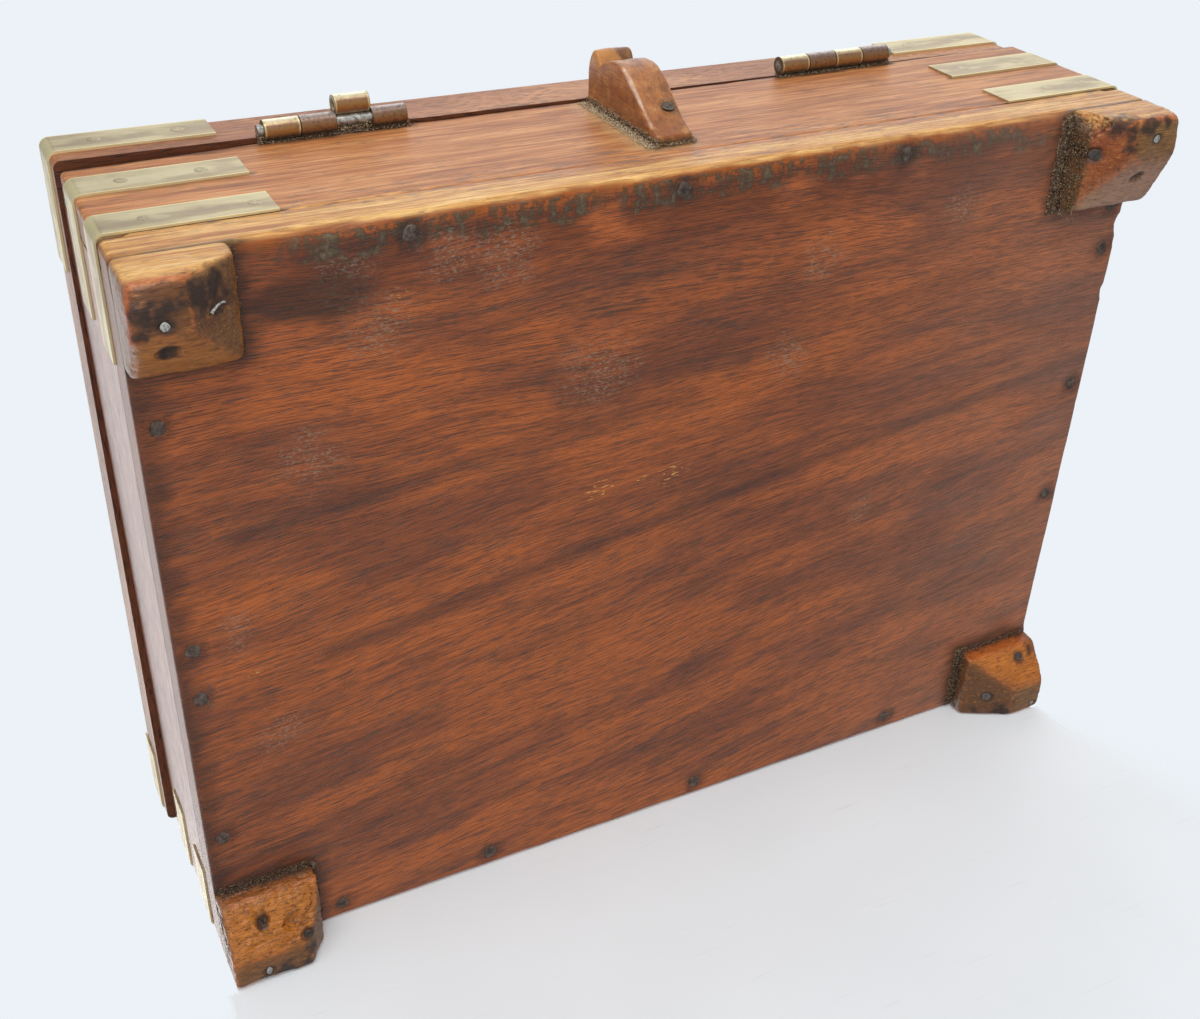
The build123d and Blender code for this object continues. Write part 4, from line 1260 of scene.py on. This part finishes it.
# ---------------------------------------------------------------------------------------------
# Hinges. Brass butts with four knuckles on an iron pin. The lid's knuckles are rubbed bright and
# the case's are brown; one has been sprung off its pin. Three screws hold each leaf.
# ---------------------------------------------------------------------------------------------
BACK_FACE = WALL_HIGH[1]
PITCH = (LEAVES["right"][1][0] - LEAVES["right"][0][0]) / 4  # the length of a knuckle and its gap


def hinge_finish(name, under, round_tone, side_tone, top, rim_share):
    finish = Finish(name)
    cloud = finish.noise(finish.spot, 0.22, 4.0, 0.6)
    # tones by the way the barrel faces: a painted highlight on the side that faces up and out, and
    # painted shade with tarnish round the rest
    height = finish.line(cloud, 0.16, finish.line(finish.facing()[2], 0.5, 0.42))
    finish.colour = finish.tones(
        height, (0.02, under), (0.10, round_tone), (0.22, side_tone), (0.33, top), (0.62, top),
        (0.78, side_tone),
    )
    # each knuckle has worn rims, and painted shade in the gap between it and the next
    for low, high in LEAVES.values():
        share = finish.maths("DIVIDE", finish.less(finish.x, low[0]), PITCH)
        off = finish.maths("ABSOLUTE", finish.less(finish.maths("FRACT", share), 0.5))
        here = finish.times(finish.maths("GREATER_THAN", finish.x, low[0] - 3),
                            finish.maths("LESS_THAN", finish.x, high[0] + 3))
        finish.coat(finish.times(finish.rise(off, 0.42, 0.45), here), (240, 218, 158), rim_share)
        finish.coat(finish.times(finish.rise(off, 0.472, 0.49), here), (44, 36, 30), 0.85)
    patch = finish.noise(finish.spot, 1.1, 4.0, 0.75)
    crust = finish.maths("ADD", patch, 0.06 * (1 - rim_share))
    finish.coat(finish.rise(crust, 0.54, 0.70), (84, 68, 52), 0.62)
    # dirt, and painted shade, where the barrel meets the wall
    near_wall = finish.rise(finish.less(finish.y, BACK_FACE), 2.4, 0.6)
    finish.coat(finish.times(near_wall, finish.rise(patch, 0.36, 0.56)), (74, 64, 48), 0.8)
    return finish.close(finish.line(patch, 0.25, 0.22), 0.55, cloud, 0.00012)


# each leaf's tones, from its underside up to the painted highlight on top
lid_leaf_brass = hinge_finish(
    "lid leaf brass", (160, 118, 70), (150, 114, 90), (222, 198, 152), (255, 246, 214), 0.6
)
case_leaf_brass = hinge_finish(
    "case leaf brass", (146, 106, 68), (138, 106, 86), (156, 134, 124), (190, 174, 168), 0.0
)
for side in LEAVES:
    finish_node(f"hinge_{side}_lid_leaf", lid_leaf_brass)
    finish_node(f"hinge_{side}_case_leaf", case_leaf_brass)


def steel_finish(name, dark, light):
    finish = Finish(name)
    rust = finish.noise(finish.spot, 0.7, 4.0, 0.7)
    finish.colour = finish.tones(rust, (0.36, dark), (0.62, light))
    return finish.close(finish.line(rust, 0.3, 0.3), 0.8, rust, 0.00008)


pin_steel = steel_finish("hinge pin iron", (104, 100, 90), (196, 196, 190))
finish_node("hinge_left_pin", pin_steel)
finish_node("hinge_right_pin", pin_steel)


def hinge_crumbs():
    strips = []
    for side, (low, high) in LEAVES.items():
        start = (low[0] - 2.0, BACK_FACE, RIM - 1.3)
        end = (high[0] + 2.0, BACK_FACE, RIM - 1.3)
        strips.append((start, end, (0, 0, -1.4), (0, 0.5, 0), 300, 0.30, 0.45))
        strips.append((start, end, (0, 0, 0.6), (0, 0.9, 0), 200, 0.28, 0.6))
        # round the end of each pin
        tip = high[0] if side == "right" else low[0]
        strips.append(((tip - 1, BACK_FACE, RIM - 1.0), (tip + 1.4, BACK_FACE, RIM - 1.0),
                       (0, 0, 1.6), (0, 1.6, 0), 90, 0.34, 0.1))
    # thick under the bare part of the right pin
    left = LEAVES["right"][0][0]
    strips.append(((left + PITCH * 0.9, BACK_FACE, RIM - 1.2),
                   (left + PITCH * 2.2, BACK_FACE, RIM - 1.2),
                   (0, 0, 1.4), (0, 2.6, 0), 420, 0.36, 0.05))
    crumbs("crumbs_hinges", 71, strips)


hinge_crumbs()


def leaf_screws(leaf, face, out):
    """Flush slotted screws, three to a leaf."""
    turns = np.linspace(0, 2 * np.pi, AROUND, endpoint=False)
    flat_circle = circle(AROUND, np.array((1.0, 0.0, 0.0)), np.array((0.0, 1.0, 0.0)))
    rings = (0.0, 0.9, 1.6, 1.75)
    points, faces, grime = [], [], []
    for side in LEAVES:
        low, high = corners(f"hinge_{side}_{leaf}_leaf")
        for share, drop in ((0.14, 5.2), (0.5, 3.6), (0.86, 5.2)):
            x = low[0] + (high[0] - low[0]) * share
            y = low[1] + 8.2 - drop
            faces += ring_faces(len(rings), AROUND, len(points) * AROUND)
            for ring in rings:
                z = face + out * (0.04 if ring < 1.7 else -0.3)
                points.append((x, y, z) + ring * flat_circle)
                slot = np.abs(np.sin(turns + share * 9) * ring) < 0.3
                grime.append(np.where(slot, 1.0, 0.9 if ring > 1.7 else 0.0))
    faces = np.array(faces)[:, ::out]
    made = piece(leaf + "_leaf_screws", np.concatenate(points), faces, pin_brass)
    mark(made, "grime", np.concatenate(grime))
    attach(made, leaf)


LID_HEIGHT = 17.7
leaf_screws("case", RIM, 1)
leaf_screws("lid", corners("lid_panel")[1][2] - LID_HEIGHT, -1)

# ---------------------------------------------------------------------------------------------
# Lock. A brass case let into the front with its selvedge on the rim, a steel bolt that slides in
# it, a link plate with two staples under the lid, and a brass escutcheon round the keyhole.
# ---------------------------------------------------------------------------------------------


def lock_finish():
    finish = Finish("lock brass")
    cloud = finish.noise(finish.spot, 0.22, 5.0, 0.65)
    finish.colour = finish.tones(
        cloud, (0.36, (120, 94, 62)), (0.52, (176, 148, 98)), (0.68, (208, 184, 132))
    )
    drawn = finish.grain((12.0, 0.3, 0.3))
    finish.coat(0.35, finish.mix(drawn, (120, 98, 66), (218, 196, 146)))
    return finish.close(finish.line(cloud, 0.3, 0.22), 0.9, cloud)


lock_brass = lock_finish()
for name in ("lock_case", "lock_link", "keyhole_escutcheon"):
    finish_node(name, lock_brass)
finish_node("lock_bolt", steel_finish("bolt steel", (84, 80, 76), (156, 154, 150)))

# ---------------------------------------------------------------------------------------------
# Studio. A pale floor in two sheets, of which each view sees the one that faces it, soft lights
# all round in a pale room, and the camera, which looks up at the back from below the box.
# ---------------------------------------------------------------------------------------------
scene = bpy.context.scene


def floor_sheet(name, points, faces, fade):
    """A pale sheet, seen only from its front, that melts into the room away from the box."""
    finish = Finish(name)
    cloudy = finish.noise(finish.spot, 0.02, 3.0)
    finish.colour = finish.mix(cloudy, (230, 234, 236), (239, 242, 244))
    lines = finish.grain((30.0, 1.0, 1.0), 0.9, 2.0, 0.6)
    finish.coat(finish.rise(lines, 0.66, 0.74), (206, 202, 192), 0.25)
    made = piece(name, np.array(points), faces, finish.close(0.9))
    hidden = finish.maths("MAXIMUM", finish.add("NewGeometry", {}, out=6), fade(finish))
    clear = finish.add("BsdfTransparent", {})
    both = finish.add("MixShader", {0: hidden, 1: finish.shader.outputs[0], 2: clear})
    finish.set(finish.tree.nodes["Material Output"].inputs[0], both)
    for rays in ("shadow", "diffuse", "glossy", "transmission"):
        setattr(made, "visible_" + rays, False)


def far_off(finish):
    distance = finish.add("VectorMath", {0: finish.spot}, out=1, operation="LENGTH")
    return finish.rise(distance, 450.0, 1300.0)


def far_or_beyond(finish):
    """Beside the box the sheet thins out round the corner of the part in front of it."""
    aside = finish.less(finish.maths("ABSOLUTE", finish.x), HALF_CASE)
    aside = finish.maths("MAXIMUM", aside, 0.0)
    before = finish.maths("MAXIMUM", finish.times(finish.z, -1.0), 0.0)
    slant = finish.maths("DIVIDE", before, finish.maths("ADD", aside, 1.0))
    beyond = finish.times(finish.rise(aside, 0.0, 2.0), finish.rise(slant, 7.0, 0.1))
    return finish.maths("MAXIMUM", beyond, far_off(finish))


# In millimetres: the floor lies just under the feet, or just before the front of the bottom board
HALF_CASE = 150.0
FLOOR = -0.3
EDGE = BOARD_LOW[1] - 0.3
HALF = HALF_CASE - 1.5
TOP = 20.0
FAR = 2000.0
floor_sheet(
    "floor",
    [(-FAR, -FAR, FLOOR), (FAR, -FAR, FLOOR), (FAR, FAR, FLOOR), (-FAR, FAR, FLOOR)],
    [(0, 1, 2, 3)],
    far_off,
)
# the same floor as it lies when the box is stood on its front, under the box and before it
floor_sheet(
    "floor_on_edge",
    [
        (-FAR, EDGE, -FAR), (-FAR, EDGE, 0), (FAR, EDGE, 0), (FAR, EDGE, -FAR),
        (-HALF, EDGE, 0), (-HALF, EDGE, TOP), (HALF, EDGE, TOP), (HALF, EDGE, 0),
    ],
    [(0, 1, 2, 3), (4, 5, 6, 7)],
    far_or_beyond,
)


def soft_light(name, spot, aim, size, power, colour=(1.0, 1.0, 1.0)):
    data = bpy.data.lights.new(name, "AREA")
    data.shape = "DISK"
    data.size = size
    data.energy = power
    data.color = colour
    made = bpy.data.objects.new(name, data)
    made.location = spot
    made.rotation_mode = "QUATERNION"
    made.rotation_quaternion = (Vector(aim) - Vector(spot)).to_track_quat("-Z", "Y")
    scene.collection.objects.link(made)


soft_light("key_light", (0.3, 1.3, -0.3), (0, 0, 0.05), 1.2, 12.0, (1.0, 0.99, 0.97))
soft_light("under_light", (0.5, 0.5, -1.2), (0, 0, 0.03), 1.0, 6.0, (0.96, 0.98, 1.0))
soft_light("top_light", (-0.7, 0.5, 1.1), (0, 0, 0.05), 1.6, 6.5)
soft_light("end_light", (0.45, -0.8, 1.2), (0.1, 0, 0.05), 1.2, 5.0)
soft_light("front_light", (0.5, -1.3, 0.6), (0, 0, 0.05), 1.0, 4.0)

world = bpy.data.worlds.new("pale room")
scene.world = world
world.use_nodes = True
tree = world.node_tree
seen = tree.nodes["Background"]
seen.inputs[0].default_value = paint(236, 242, 247)
seen.inputs[1].default_value = 1.0
lit = tree.nodes.new("ShaderNodeBackground")
lit.inputs[0].default_value = paint(236, 242, 250)
lit.inputs[1].default_value = 0.45
which = tree.nodes.new("ShaderNodeMixShader")
path = tree.nodes.new("ShaderNodeLightPath")
tree.links.new(path.outputs["Is Camera Ray"], which.inputs[0])
tree.links.new(lit.outputs[0], which.inputs[1])
tree.links.new(seen.outputs[0], which.inputs[2])
tree.links.new(which.outputs[0], tree.nodes["World Output"].inputs[0])
scene.view_settings.view_transform = "Standard"

camera_data = bpy.data.cameras.new("camera")
camera_data.lens = 43.458
camera_data.sensor_width = 36.0
camera_data.clip_start = 0.01
camera = bpy.data.objects.new("camera", camera_data)
right = Vector((-0.89275594, 0.02710609, -0.44972446))
down = Vector((0.22506524, -0.83788756, -0.49728269))
forward = Vector((-0.39029792, -0.54516942, 0.74192846))
turn = Matrix((right, -down, -forward)).transposed()
camera.matrix_world = Matrix.Translation((0.18749, 0.23145, -0.29008)) @ turn.to_4x4()
scene.collection.objects.link(camera)
scene.camera = camera
